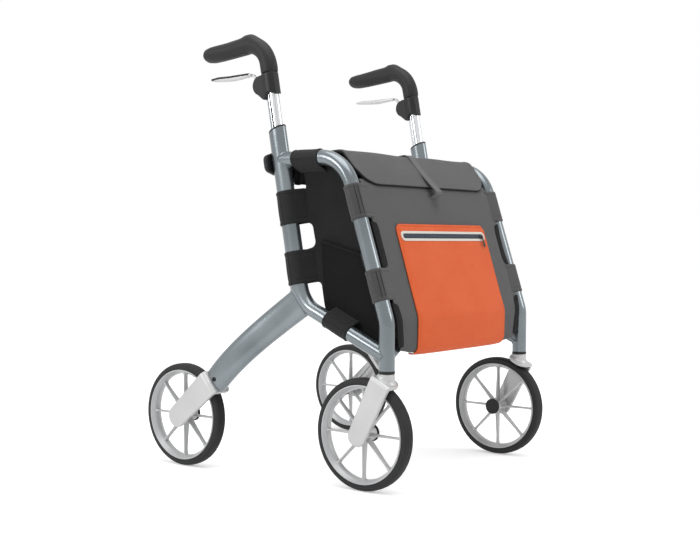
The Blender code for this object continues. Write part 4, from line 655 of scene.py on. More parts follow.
# %% Loop tube
first_ring = tube_ring(handle_point(TOP_Z), loop_path[0][1], -HALF_WIDTH, TUBE, TUBE)
loop_rings = [coped(first_ring, Vector((1, 0)), to_handle)]
loop_rings += [tube_ring(point, along, -HALF_WIDTH, TUBE, TUBE) for point, along in loop_path[1:-1]]
for z, radius in ((0.2151, TUBE), (POST_END, 0.0135), (POST_END, 0.0118), (0.2151, 0.0113), (0.27, 0.0113)):
    loop_rings.append(tube_ring(Vector((POST_Y, z)), DOWN, -HALF_WIDTH, radius, radius))
loop_tube = skin("bent_loop_tube", loop_rings)
print("loop tube:", len(loop_tube.data.vertices), "points")

# %% [markdown]
# ## Weld beads
# Where two tubes meet there is a bead of weld. It follows the coped edge as a thin roll, and its thickness rises and
# falls a little with each drop of metal, which is what makes it read as a weld under the lacquer.

# %% Beads
def bead(name, line, radius=0.0016, drops=46):
    """A rippled roll along a closed line of points, its section turned the same way all along."""
    rings = []
    for k, point in enumerate(line):
        along = (line[(k + 1) % len(line)] - line[k - 1]).normalized()
        side = along.cross(Vector((1, 0, 0)) if abs(along.x) < 0.8 else Vector((0, 0, 1))).normalized()
        up = along.cross(side)
        ripple = radius * (1 + 0.16 * math.cos(2 * math.pi * drops * k / len(line)))
        ring = [point + (side * c + up * s) * ripple for c, s in turns(10)]
        if rings:
            shift = min(range(10), key=lambda start: (ring[start] - rings[-1][0]).length)
            ring = ring[shift:] + ring[:shift]
        rings.append(ring)
    return skin(name, rings, loop=True)


def meeting_line(centre, along, reach):
    """The line where a round tube meets its neighbour."""
    return coped(tube_ring(centre, along, -HALF_WIDTH, TUBE, TUBE, sides=BEAD_POINTS), along, reach)


BEAD_POINTS = 184
top_bead = bead("top_bead", meeting_line(handle_point(TOP_Z), Vector((1, 0)), to_handle))
post_bead = bead("post_bead", meeting_line(main_path[-2][0], BOTTOM_ALONG, to_post))
print("beads:", len(top_bead.data.vertices), "points each")

# %% [markdown]
# ## Rear leg
# The leg is a wide, flat tube, slightly bowed, that swings outwards on its way down so that the rear wheels stand
# wider than the front ones. Its section is between an ellipse and a rectangle, so the superellipse power is 2.8. At
# the top it is coped into the foot bend and welded, and at the foot it fits on the rear fork.

# %% Leg
REAR_TRACK, BLADE_ANGLE, BLADE_TOP, BOW = 0.262, math.radians(50), 0.1108, 0.008
leg_top = main_path[1 + (len(main_path) - 3) // 2][0]
BLADE_DOWN = Vector((math.sin(BLADE_ANGLE), -math.cos(BLADE_ANGLE)))
leg_foot = Vector((AXLE_Y, WHEEL_RADIUS)) - BLADE_DOWN * BLADE_TOP


def leg_ring(t, grow=0.0, sides=56):
    """The leg's section at a share t of its length from the top."""
    chord = leg_foot - leg_top
    up = Vector((-chord.y, chord.x)).normalized()
    centre = leg_top + chord * t + up * (BOW * 4 * t * (1 - t))
    along = (chord + up * (BOW * 4 * (1 - 2 * t))).normalized()
    along = along.lerp(BLADE_DOWN, t ** 3).normalized()
    spread = t * t * (3 - 2 * t)
    x = -(HALF_WIDTH * (1 - spread) + REAR_TRACK * spread)
    depth = (0.057 * (1 - t) + 0.051 * t) / 2
    return tube_ring(centre, along, x, depth + grow, 0.0125 + grow, sides, power=2.8)


leg_rings = [leg_ring(0.02 + 0.98 * k / 40) for k in range(40)] + [leg_ring(0.998), leg_ring(1.0, -0.0010)]
rear_leg = skin("flat_leg", leg_rings)
print("leg:", len(rear_leg.data.vertices), "points")

# %% [markdown]
# The weld round the leg's top is found by walking down each long line of the leg until it leaves the foot bend.

# %% Leg bead
def inside_bend(point):
    """How deep a point lies inside the main tube, below zero outside it."""
    flat = Vector((point.y, point.z))
    best = -1.0
    for k, (centre, along) in enumerate(main_path[1:-1]):
        depth, width = oval_of(k / bend_steps)
        rel = flat - centre
        if abs(rel.dot(along)) < 0.004:
            best = max(best, 1 - math.hypot(rel.dot(beside(along)) / depth, (point.x + HALF_WIDTH) / width))
    return best


leg_line = []
for k in range(BEAD_POINTS):
    low, high = 0.0, 0.35
    for _ in range(14):
        middle = (low + high) / 2
        if inside_bend(leg_ring(middle, sides=BEAD_POINTS)[k]) > 0:
            low = middle
        else:
            high = middle
    leg_line.append(leg_ring(high, sides=BEAD_POINTS)[k])
leg_bead = bead("leg_bead", leg_line)
frame_tubes = joined("side_frame", [main_tube, loop_tube, rear_leg, top_bead, post_bead, leg_bead])
both_sides(frame_tubes, frame_paint, "frame_paint", "frame", "main_tube", "loop_tube", "rear_leg")
print("side frame:", len(frame_tubes.data.polygons), "faces")

# %% [markdown]
# ## Wheels
# All four wheels are alike, so one is modelled on the left caster and copied. The rim is a deep barrel with rolled
# lips, spun from its section. Its eight spokes are webs: thin in the wheel's plane, and deep along the axle, deeper at
# the hub than at the rim. The solid tyre has a crowned tread with three fine grooves that show where the light grazes.

# %% Rim, spokes and hub
LEFT_WHEEL = Matrix(((0, 0, -1, -HALF_WIDTH), (1, 0, 0, -AXLE_Y), (0, 1, 0, WHEEL_RADIUS), (0, 0, 0, 1)))


def both_lips(profile):
    """A section from its outer half: the points are repeated mirrored, back to the start."""
    return profile + [(radius, -out) for radius, out in reversed(profile)]


rim_section = both_lips([
    (0.0877, 0.0124), (0.0874, 0.0130), (0.0866, 0.0132), (0.0856, 0.0130), (0.0850, 0.0121), (0.0841, 0.0104),
    (0.0824, 0.0082), (0.0806, 0.0056), (0.0796, 0.0026),
])
rim = spun("rim", rim_section, LEFT_WHEEL)
hub_section = [
    (0.0042, 0.0149), (0.0042, -0.0209), (0.0060, -0.0212), (0.0128, -0.0212), (0.0135, -0.0205), (0.0135, -0.0120),
    (0.0124, -0.0060), (0.0120, 0.0030), (0.0124, 0.0100), (0.0131, 0.0140), (0.0126, 0.0149),
]
hub = spun("hub", hub_section, LEFT_WHEEL, 48)


def web_ring(reach, angle, half_wide, half_deep, centre):
    """A spoke's section: a rectangle with well rounded corners, square to the spoke."""
    along = Vector((math.cos(angle), math.sin(angle), 0))
    across = Vector((-math.sin(angle), math.cos(angle), 0))
    ring = []
    for c, s in turns(20):
        deep = Vector((0, 0, centre + half_deep * squared(s, 0.45)))
        ring.append(LEFT_WHEEL @ (along * reach + across * (half_wide * squared(c, 0.45)) + deep))
    return ring


SPOKE = (
    (0.0095, 0.0034, 0.0078, -0.0025), (0.0135, 0.0026, 0.0073, -0.0023), (0.0180, 0.0021, 0.0067, -0.0018),
    (0.0400, 0.0019, 0.0056, -0.0008), (0.0620, 0.0017, 0.0045, 0.0), (0.0735, 0.0018, 0.0043, 0.0),
    (0.0778, 0.0024, 0.0047, 0.0), (0.0812, 0.0036, 0.0056, 0.0),
)
spokes = []
for degrees in range(0, 360, 45):
    spokes.append(skin("spoke", [web_ring(row[0], math.radians(degrees), *row[1:]) for row in SPOKE]))
wheel_rim = joined("spoked_rim", [rim, hub] + spokes)
print("rim:", len(wheel_rim.data.polygons), "faces")

# %% Tyre and hub cap
tyre_section = both_lips([
    (0.0878, 0.0110), (0.0890, 0.0117), (0.0930, 0.0120), (0.0958, 0.0117), (0.0978, 0.0105), (0.0990, 0.0087),
    (0.0996, 0.0066), (0.0998, 0.0055), (0.0992, 0.0051), (0.0992, 0.0045), (0.0999, 0.0041), (0.1000, 0.0020),
    (0.1000, 0.0006), (0.0993, 0.0003),
])
tyre = spun("solid_tyre", tyre_section, LEFT_WHEEL, 120)
cap_section = [
    (0.0, 0.0160), (0.0040, 0.0160), (0.0040, -0.0214), (0.0150, -0.0214), (0.0157, -0.0219), (0.0157, -0.0240),
    (0.0149, -0.0251), (0.0100, -0.0256), (0.0, -0.0258),
]
hub_cap = spun("hub_cap", cap_section, LEFT_WHEEL, 64)


def wheel_pair(piece, name, shift, finish, slot, end, body, node):
    """A copy of a wheel piece, moved to its own axle, on both sides."""
    choose(piece)
    bpy.ops.object.duplicate()
    copy = bpy.context.object
    copy.name = f"{end}_{name}"
    copy.data.transform(Matrix.Translation(shift))
    both_sides(copy, finish, slot, body, f"{end}_{node}")


REAR_SHIFT = Vector((HALF_WIDTH - REAR_TRACK, 2 * AXLE_Y, 0))
for end, shift, carrier in (("front", Vector(), "caster"), ("rear", REAR_SHIFT, "frame")):
    wheel_pair(wheel_rim, "spoked_rim", shift, rim_silver, "rim_silver", end, f"{end}_wheel", "rim")
    wheel_pair(tyre, "solid_tyre", shift, tyre_rubber, "tyre_rubber", end, f"{end}_wheel", "tyre")
    wheel_pair(hub_cap, "hub_cap", shift, black_plastic, "black_plastic", end, carrier, "axle")
start_fresh()
for pattern in (wheel_rim, tyre, hub_cap):
    pattern.select_set(True)
bpy.ops.object.delete()
print("four wheels")

# %% [markdown]
# ## Forks
# Each fork is one casting: a flat bar that lies over the tyre, turns the corner and runs down the outer side to the
# hub. It is skinned as a bent bar in its own upright place, where its flats lie square, and then turned into the
# wheel's plane. The bar's end narrows in a half round below the axle. The front fork also has a round head with a
# flared foot, which fills the corner to the bar, and the stem that turns in the post.

# %% Fork bar
def bar_ring(centre, along, half_wide, half_thick):
    """A flat bar's section with rounded edges, in the fork's own u (out), v (up) plane."""
    edge = min(0.0019, half_thick * 0.8, half_wide * 0.8)
    ring = []
    for c, s in turns(48, 0.5):
        wide = math.copysign(half_wide - edge, c) + edge * c
        thick = math.copysign(half_thick - edge, s) + edge * s
        ring.append(Vector((*(centre + beside(along) * thick), wide)))
    return ring


FORK_OUT, FORK_UP = 0.01925, 0.107


def fork_bar(name, top_width, hub_width, overrun, corner, inboard, rounding):
    """The bar from its inboard end over the tyre, round the corner and down past the axle."""
    low_end = Vector((FORK_OUT, -overrun))
    path = bent_path([Vector((-inboard, FORK_UP)), Vector((FORK_OUT, FORK_UP)), low_end], [corner], math.radians(9))
    taper = (top_width - hub_width) / 2 / 0.1105
    rings = []
    for degrees in (4, 12, 22, 32, 43, 54, 65, 77, 90):
        c, s = math.cos(math.radians(degrees)), math.sin(math.radians(degrees))
        spot = Vector((-inboard + rounding * (1 - c), FORK_UP))
        half = top_width / 2 - rounding * (1 - s)
        rings.append(bar_ring(spot, Vector((1, 0)), half, 0.0035 if degrees > 10 else 0.0028))
    for point, along in path[1:-1]:
        rings.append(bar_ring(point, along, hub_width / 2 + taper * min(point.y, FORK_UP), 0.00365))
    radius = hub_width * 0.47
    top = path[-2][0].y
    for k in range(13):
        v = top + (-overrun + radius - top) * k / 12
        rings.append(bar_ring(Vector((FORK_OUT, v)), DOWN, hub_width / 2 + taper * v, 0.00375))
    low = hub_width / 2 + taper * (-overrun + radius)
    for degrees in (12, 24, 36, 48, 60, 70, 79, 86):
        c, s = math.cos(math.radians(degrees)), math.sin(math.radians(degrees))
        spot = Vector((FORK_OUT, -overrun + radius * (1 - s)))
        rings.append(bar_ring(spot, DOWN, low * c ** 0.86, 0.00375 if degrees < 80 else 0.0030))
    return skin(name, rings)


def hub_place(track, y, angle):
    """From a fork's own place to the world, on the left: u out, v up the blade, w to the rear."""
    up = (0, -math.sin(angle), math.cos(angle))
    back = (0, math.cos(angle), math.sin(angle))
    place = Matrix(((-1, 0, 0), up, back)).transposed().to_4x4()
    place.translation = (-track, y, WHEEL_RADIUS)
    return place


TRAIL_ANGLE = math.asin((-AXLE_Y - POST_Y) / FORK_UP)
REAR_PLACE = hub_place(REAR_TRACK, AXLE_Y, BLADE_ANGLE)
FRONT_PLACE = hub_place(HALF_WIDTH, -AXLE_Y, TRAIL_ANGLE)
rear_bar = fork_bar("rear_fork_bar", 0.051, 0.043, 0.024, 0.0062, 0.0225, 0.0080)
rear_bar.data.transform(REAR_PLACE)
both_sides(rear_bar, satin_silver, "satin_silver", "frame", "rear_fork")

# %% Caster fork
front_bar = fork_bar("caster_fork_bar", 0.043, 0.038, 0.020, 0.0030, 0.0205, 0.0200)
TO_FORK = FRONT_PLACE.inverted()


def post_ring(radius, height):
    """A ring round the post's axis in the fork's own place; height gives its z at each y."""
    spots = [(-HALF_WIDTH + radius * s, POST_Y + radius * c) for c, s in turns(48)]
    return [TO_FORK @ Vector((x, y, height(y))) for x, y in spots]


def above_bar(above):
    """A height over the bar, which leans back by the trail angle."""
    return lambda y: WHEEL_RADIUS + (0.1105 + above + (y + AXLE_Y) * math.sin(TRAIL_ANGLE)) / math.cos(TRAIL_ANGLE)


FLARE = (
    (-0.0032, 0.0160), (-0.0020, 0.0168), (0.0, 0.0168), (0.0014, 0.0162), (0.0028, 0.0152), (0.0046, 0.0144),
)
STEM = ((0.2082, 0.0141), (0.2094, 0.0139), (0.2100, 0.0132), (0.2100, 0.0080), (0.2690, 0.0080))
head_rings = [post_ring(radius, above_bar(above)) for above, radius in FLARE]
head_rings += [post_ring(radius, lambda y: z) for z, radius in STEM]
caster_head = skin("caster_head", head_rings)
front_fork = joined("caster_fork", [front_bar, caster_head])
melt(front_fork, 0.0008, 7)
front_fork.data.transform(FRONT_PLACE)
both_sides(front_fork, satin_silver, "satin_silver", "caster", "front_fork")
print("caster fork:", len(front_fork.data.polygons), "faces")

# %% [markdown]
# ## Small parts of the frame
# A black bush closes the post above the fork, a dark screw holds the leg's end, and a plastic collar guides the inner
# tube in the slanted mouth of the handle tube. They are small, but each makes a dark line that the eye expects.

# %% Bush and screw
POST_AXIS = Matrix(((0, 1, 0, -HALF_WIDTH), (1, 0, 0, POST_Y), (0, 0, 1, 0), (0, 0, 0, 1)))
bush_section = [
    (0.0083, 0.2101), (0.0137, 0.2101), (0.0144, 0.2106), (0.0145, 0.2112), (0.0145, 0.2135), (0.0142, 0.2141),
    (0.0136, 0.2145), (0.0110, 0.2145), (0.0110, 0.2240), (0.0083, 0.2240),
]
both_sides(spun("post_bush", bush_section, POST_AXIS, 64), black_plastic, "black_plastic", "frame", "bearing_ring")
screw_spot = REAR_PLACE @ Vector((0, 0.1183, 0))
SCREW_AXIS = Matrix(((0, 0, -1, screw_spot.x), (1, 0, 0, screw_spot.y), (0, 1, 0, screw_spot.z), (0, 0, 0, 1)))
screw_section = [
    (0.0, 0.0118), (0.0044, 0.0118), (0.0045, 0.0126), (0.0042, 0.0136), (0.0034, 0.0142), (0.0022, 0.0143),
    (0.0020, 0.0128), (0.0, 0.0128),
]
both_sides(spun("leg_screw_head", screw_section, SCREW_AXIS, 36), black_plastic, "black_plastic", "frame", "leg_screw")

# %% Collar in the handle tube's mouth
COLLAR = (
    (0.0026, 0.0134, 0.0099), (0.0031, 0.0140, 0.0105), (0.0031, 0.0168, 0.0124), (0.0026, 0.0180, 0.0135),
    (0.0018, OVAL, TUBE), (0.0004, OVAL, TUBE), (0.0004, 0.0162, 0.0117), (-0.020, 0.0162, 0.0117),
    (-0.020, 0.0134, 0.0099),
)
collar_rings = []
for along, depth, width in COLLAR:
    spot = handle_point(MOUTH_Z, along)
    collar_rings.append(tube_ring(spot, -HANDLE_UP, -HALF_WIDTH, depth, width, slant=MOUTH_SLANT))
collar = skin("mouth_collar", collar_rings, loop=True)
both_sides(collar, black_plastic, "black_plastic", "frame", "tube_collar")
print("bush, screw and collar on both sides")

# %% [markdown]
# ## Handle: inner tube
# The handle slides in the handle tube on a bare, polished, oval tube. It has one narrow groove along each flat side,
# which keeps it straight in the collar. Three thin strips down the bright metal are painted reflections of darker
# things around it: a black one along the groove, and a grey and a light grey one beside it.

# %% Inner tube
INNER_Z, INNER_DEPTH, INNER_WIDTH = 0.445, 0.0130, 0.0095


def grooved_ring(centre, along, depth, width, groove):
    """An oval section with a narrow groove in each flat side."""
    ring = []
    for c, s in turns(112):
        dent = 1 - groove * dip(c, -0.01, 0.085)
        flat = centre + beside(along) * (depth * squared(c, 0.94))
        ring.append(in_space(-HALF_WIDTH + width * dent * squared(s, 0.94), flat))
    return ring


inner_rings = []
for along, depth, width, groove in (
    (0.0, 0.0155, 0.0110, 0.0), (0.0008, 0.0161, 0.0116, 0.0), (0.016, 0.0161, 0.0116, 0.0),
    *((mark, INNER_DEPTH, INNER_WIDTH, 0.09) for mark in (0.0163, 0.10, 0.20, 0.316)),
):
    inner_rings.append(grooved_ring(handle_point(INNER_Z, along), -HANDLE_UP, depth, width, groove))
inner_tube = skin("sliding_tube", inner_rings)
both_sides(inner_tube, polished_tube, "polished_tube", "handle", "inner_tube")
# Painted reflections: a black, a grey and a light grey strip lie on the mirror metal in place of the dark things it
# would reflect.
for name, first, last, finish in (
    ("dark", -0.14, 0.06, black_plastic), ("rear", 0.36, 0.50, frame_paint), ("front", -0.80, -0.66, satin_silver),
):
    section = ((first, 0.0012), (first, -0.0003), ((first + last) / 2, -0.0004), (last, -0.0003), (last, 0.0012))
    reflection_rings = []
    for along in (0.018, 0.12, 0.22, 0.312):
        ring = []
        for c, deep in section:
            flat = handle_point(INNER_Z, along) + HANDLE_BACK * (INNER_DEPTH * c * (1 - deep * 40 * abs(c)))
            ring.append(in_space(-HALF_WIDTH - INNER_WIDTH * math.sqrt(1 - c * c) ** 0.94 + deep, flat))
        reflection_rings.append(ring)
    both_sides(skin(f"tube_line_{name}", reflection_rings), finish, "polished_tube", "handle")
print("inner tube:", len(inner_tube.data.polygons), "faces")

# %% [markdown]
# ## Grip
# The grip is moulded to the hand. From its foot it follows the bend of the tube, with a low swelling in front of the
# fingers and a raised thumb rest on top of the bend. Behind that it has a waist, and then widens into a palm rest
# whose outer side stands higher than its inner one. It is skinned over rings whose upper, lower and side reach are
# read from a short table, and then smoothed a little, as rubber has no sharp edges.

# %% Grip sections
GRIP_FOOT, GRIP_CORNER, GRIP_LENGTH = handle_point(0.752), handle_point(0.812), 0.1570
GRIP_BACK = Vector((math.cos(math.radians(5.2)), -math.sin(math.radians(5.2))))
grip_path = bent_path([GRIP_FOOT, GRIP_CORNER, GRIP_CORNER + GRIP_BACK * GRIP_LENGTH], [0.045], math.radians(5))
PALM = (
    (0.030, 0.0166, 0.0184, 0.0160), (0.052, 0.0168, 0.0176, 0.0160), (0.070, 0.0170, 0.0168, 0.0160),
    (0.092, 0.0170, 0.0158, 0.0167), (0.113, 0.0168, 0.0157, 0.0182), (0.133, 0.0161, 0.0155, 0.0189),
    (0.147, 0.0135, 0.0140, 0.0166), (0.1535, 0.0092, 0.0098, 0.0118), (GRIP_LENGTH, 0.0030, 0.0030, 0.0040),
)


def from_table(table, value):
    """Values between the rows of a table, on straight lines between the rows."""
    for row, after in zip(table, table[1:]):
        if value <= after[0]:
            share = max((value - row[0]) / (after[0] - row[0]), 0)
            return [a + (b - a) * share for a, b in zip(row[1:], after[1:])]
    return list(table[-1][1:])


def grip_ring(centre, along, low, high, wide, wing=0.0):
    """A ring with its own reach below, above and to the sides; wing lifts the outer shoulder."""
    ring = []
    for c, s in turns(64):
        reach = low * c if c > 0 else high * c * (1 + wing * (max(-s, 0) - 0.35) * min(-c * 1.6, 1))
        ring.append(in_space(-HALF_WIDTH + wide * s, centre + beside(along) * reach))
    return ring

# %% Grip
grip_rings = []
for along, shrink in ((0.0, 0.0012), (0.0008, 0.0004), (0.0022, 0.0), (0.006, 0.0), (0.010, 0.0)):
    high = 0.0166 + 0.0016 * dip(along, 0.010, 0.006) - shrink
    grip_rings.append(grip_ring(GRIP_FOOT + HANDLE_UP * along, HANDLE_UP, 0.0160 - shrink, high, 0.0158 - shrink))
bend = grip_path[1:-1]
for k, (point, along) in enumerate(bend):
    t = k / (len(bend) - 1)
    high = 0.0152 + 0.0062 * dip(t, 0.93, 0.15) + 0.0018 * dip(t, 0.0, 0.13)
    grip_rings.append(grip_ring(point, along, 0.0160 + 0.0016 * math.sin(math.pi * t), high, 0.0158))
start = (bend[-1][0] - GRIP_CORNER).dot(GRIP_BACK)
for k in range(1, 46):
    reach = start + (GRIP_LENGTH - start) * (1 - (1 - k / 45) ** 1.25)
    low, high, wide = from_table(PALM, reach)
    high += 0.0040 * dip(reach, start, 0.009)
    wing = 0.24 * dip(reach, 0.128, 0.026) - 0.10 * dip(reach, 0.080, 0.018)
    grip_rings.append(grip_ring(GRIP_CORNER + GRIP_BACK * reach, GRIP_BACK, low, high, wide, wing))
grip = skin("palm_grip", grip_rings)
apply_modifier(grip, "SMOOTH", factor=0.5, iterations=5)
both_sides(grip, grip_rubber, "grip_rubber", "handle", "grip")
print("grip:", len(grip.data.polygons), "faces")

# %% [markdown]
# ## Brake housing
# The housing is a short sleeve round the inner tube with a disc behind it for the lever's pivot. Both are one
# moulding. The sleeve and the disc are made as simple solids, joined, and remeshed in small cubes, and the smoothing
# after that gives the soft fillet between them. The lower edge is arched over the flat of the tube.

# %% Housing
HOUSING_TOP = handle_point(0.752, -0.0008)
LOWER_EDGE = (
    (-0.0170, -0.0425), (-0.0125, -0.0415), (-0.0070, -0.0372), (-0.0020, -0.0352), (0.0050, -0.0385),
    (0.0170, -0.0450),
)


def in_housing(back, up, x):
    """A point of the housing's side view, back and up from its top, at a distance from the left side's plane."""
    return in_space(-HALF_WIDTH + x, HOUSING_TOP + HANDLE_BACK * back + HANDLE_UP * up)


neck_rings = []
for share in (1.0, 0.5, 0.0):
    ring = []
    for c, s in turns(64):
        back = 0.0158 * squared(c, 0.9)
        ring.append(in_housing(back, from_table(LOWER_EDGE, back)[0] * share, 0.0152 * squared(s, 0.9)))
    neck_rings.append(ring)
neck = skin("housing_sleeve", neck_rings)
disc_outline = [(-0.008, -0.0075), (-0.008, -0.030), (0.002, -0.0395), (0.0118, -0.0472), (0.0140, -0.0478)]
disc_centre = Vector((0.034, 0.731)) - HOUSING_TOP
disc_middle = Vector((disc_centre.dot(HANDLE_BACK) - 0.0036, disc_centre.dot(HANDLE_UP) - 0.0026))
for degrees in range(-62, 75, 8):
    a = math.radians(degrees)
    disc_outline.append((disc_middle.x + 0.018 * math.cos(a), disc_middle.y + 0.018 * math.sin(a)))
disc_outline.append((0.0140, -0.0010))
disc = skin("housing_disc", [[in_housing(b, u, x) for b, u in disc_outline] for x in (-0.0128, 0.0128)])
housing = joined("brake_housing_shell", [neck, disc])
melt(housing, 0.0007, 8)
both_sides(housing, black_plastic, "black_plastic", "handle", "brake_housing")
print("housing:", len(housing.data.polygons), "faces")

# %% [markdown]
# ## Brake lever
# The lever is a pressed bar: a thin arm out of the housing that widens to a finger blade, slightly curved along its
# length. Its rim is bevelled. A dark strip lies along the outer edge of its top.

# %% Lever
LEVER_PIVOT = Vector((0.038, 0.733))
LEVER_UNDER = ((0.0210, 0.0176), (0.0488, 0.0146), (0.0710, 0.0124), (0.0990, 0.0134), (0.1240, 0.0152))
LEVER_OVER = ((0.0205, 0.0212), (0.0305, 0.0215), (0.0766, 0.0203), (0.1048, 0.0208), (0.1240, 0.0187))


def slab(name, outline, low, high, bevel):
    """A side-view outline with thickness along X and a rounded rim."""
    y, z = LEVER_PIVOT
    piece = skin(name, [[Vector((-HALF_WIDTH + x, y + u, z + v)) for u, v in outline] for x in (low, high)])
    round_rim(piece, bevel)
    return piece


def lever_line(table, count=22):
    first, last = table[0][0], table[-1][0]
    spots = [first + (last - first) * k / count for k in range(count + 1)]
    return [(u, from_table(table, u)[0]) for u in spots]


top_line = lever_line(LEVER_OVER)
under_line = lever_line(LEVER_UNDER)
blade = slab("finger_blade", list(reversed(top_line)) + under_line, -0.007, 0.007, 0.0011)
arm_outline = [
    (-0.004, -0.002), (0.004, -0.003), (0.0175, 0.0145), (0.026, 0.0168), (0.028, 0.0205), (0.0165, 0.0200),
    (0.004, 0.006),
]
arm = slab("lever_arm", arm_outline, -0.003, 0.003, 0.0007)
lever = joined("brake_bar", [blade, arm])
both_sides(lever, satin_silver, "satin_silver", "lever", "brake_lever")
strip_top = [(u, v + 0.0009) for u, v in top_line[1:]]
strip_under = [(u, v - 0.0028) for u, v in top_line[1:]]
strip = slab("lever_strip", list(reversed(strip_top)) + strip_under, -0.0074, -0.0030, 0.0004)
both_sides(strip, grip_rubber, "grip_rubber", "lever")
print("lever:", len(lever.data.polygons), "faces")

# %% [markdown]
# ## Height knob
# The knob that clamps the inner tube has five soft lobes, a rounded rim and a shallow dish in its end.

# %% Knob
knob_centre = handle_point(0.587)
knob_rings = []
for w, share, lobe in (
    (0.0136, 0.18, 0.0), (0.0192, 0.18, 0.0), (0.0192, 0.80, 0.6), (0.0198, 0.90, 0.9), (0.0216, 0.985, 1.0),
    (0.0240, 1.0, 1.0), (0.0266, 0.985, 1.0), (0.0284, 0.93, 0.9), (0.0294, 0.84, 0.7), (0.0296, 0.72, 0.4),
    (0.0294, 0.60, 0.1), (0.0284, 0.56, 0.0), (0.0278, 0.50, 0.0), (0.0278, 0.25, 0.0),
):
    ring = []
    for k in range(90):
        a = 2 * math.pi * k / 90
        r = 0.022 * share * (1 - 0.055 * lobe * (1 - math.cos(5 * a)))
        flat = knob_centre + HANDLE_UP * (r * math.sin(a)) + HANDLE_BACK * w
        ring.append(in_space(-HALF_WIDTH + r * math.cos(a), flat))
    knob_rings.append(ring)
knob = skin("height_knob_cap", knob_rings)
both_sides(knob, black_plastic, "black_plastic", "knob", "height_knob")
print("knob:", len(knob.data.polygons), "faces")

# %% [markdown]
# ## Cloth tools
# Cloth starts as a flat grid with a UV map. Every point of the grid is looked up on a curved shape, and the UV map is
# scaled to the metres that the cloth measures, so the weave has one size everywhere. Solidify then gives it its
# thickness. A sheet that closes on itself, such as a sleeve, is welded along its seam and stays open at its ends.

# %% Laying cloth
def laid(name, spot, us, vs, width, length, thickness=0.0, closed=False):
    """A cloth grid on spot(u, v); us and vs are the shares at which its lines lie, closed welds u = 0 to u = 1."""
    start_fresh()
    last_u, last_v = len(us) - 1, len(vs) - 1
    bpy.ops.mesh.primitive_grid_add(x_subdivisions=last_u, y_subdivisions=last_v, size=2)
    piece = bpy.context.object
    piece.name = name
    layer = piece.data.uv_layers[0]
    layer.name = "metres"
    for corner in layer.data:
        corner.uv = us[round(corner.uv.x * last_u)] * width, vs[round(corner.uv.y * last_v)] * length
    for vertex in piece.data.vertices:
        x, y = vertex.co.xy
        vertex.co = spot(us[round((x + 1) / 2 * last_u)], vs[round((y + 1) / 2 * last_v)])
    if closed:
        edit_all(piece, merge(1e-5), FACE_OUT)
    if thickness:
        apply_modifier(piece, "SOLIDIFY", thickness=thickness, offset=-1, use_even_offset=True)
    return piece


def steps(count, *extra):
    """Even shares from 0 to 1, with extra ones between."""
    return sorted({k / count for k in range(count + 1)} | set(extra))


def cord(name, points, radius):
    """A round cord, such as a piping, through points."""
    rings = []
    last = len(points) - 1
    for k, point in enumerate(points):
        along = (points[min(k + 1, last)] - points[max(k - 1, 0)]).normalized()
        side = along.cross(Vector((0, 0.3, 1)) if abs(along.z) < 0.9 else Vector((1, 0, 0))).normalized()
        up = side.cross(along).normalized()
        end = 0.4 if k in (0, last) else 1.0
        rings.append([point + (side * c + up * s) * radius * end for c, s in turns(12)])
    piece = skin(name, rings)
    piece.data.uv_layers.new(name="metres")
    return piece


def cross_body(piece, finish, slot, body, *nodes):
    """Settle a soft piece that spans both frames, with a mesh of its own."""
    settle(piece, finish, slot, body, *nodes)
    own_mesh(piece)

# %% [markdown]
# ## Front cover
# The cover hangs from under the lid, lies ahead of the front tubes and curls under the bag. It is held at four sleeves,
# so between them it sags back a little, and it is drawn in below, where the tubes bend. Its side edges are bound with
# black tape where they are free of a sleeve.

# %% Cover line
CLOTH, AHEAD = 0.0025, 0.0115
LID_BACK, LID_RIDGE, LID_FRONT = Vector((-0.075, 0.597)), Vector((-0.143, 0.603)), Vector((-0.191, 0.5417))
LID_SLOPE = (LID_RIDGE - LID_FRONT).normalized()


def sampled(path):
    """The length of a path, and a function that gives its point and direction at a share of its length."""
    marks = [0.0]
    for (before, _), (here, _) in zip(path, path[1:]):
        marks.append(marks[-1] + (here - before).length)

    def at(share):
        mark = share * marks[-1]
        k = next((k for k in range(1, len(marks) - 1) if marks[k] >= mark), len(marks) - 1)
        t = (mark - marks[k - 1]) / max(marks[k] - marks[k - 1], 1e-9)
        (before, into), (here, out) = path[k - 1], path[k]
        return before.lerp(here, t), into.lerp(out, t).normalized()

    return at, marks[-1]


def cover_path():
    """Down from under the lid, ahead of the tubes, and back under the bag."""
    start = LID_FRONT + beside(LID_SLOPE) * 0.003
    under = (start.x - front_point(-AHEAD, start.y).x) / (math.tan(FRONT_LEAN) - LID_SLOPE.x / LID_SLOPE.y)
    corners = [
        start + LID_SLOPE * 0.014, front_point(-AHEAD, start.y + under), front_point(-AHEAD, 0.304),
        Vector((-0.2645, 0.240)), Vector((-0.2385, 0.239)),
    ]
    return bent_path(corners, [0.015, 0.05, 0.014], math.radians(6))


def cover_half(z):
    return 0.2095 - 0.0145 * clamp((0.330 - z) / 0.090)


SLEEVES = ((0.540, 0.476), (0.391, 0.333))


def hold(z):
    """How firmly the sleeves hold the cover at a height, from 0 to 1."""
    beyond = min(abs(z - (high + low) / 2) - (high - low) / 2 for high, low in SLEEVES)
    return 1 / (1 + math.exp((beyond - 0.012) / 0.006))

# %% Cover
COVER, COVER_LENGTH = sampled(cover_path())


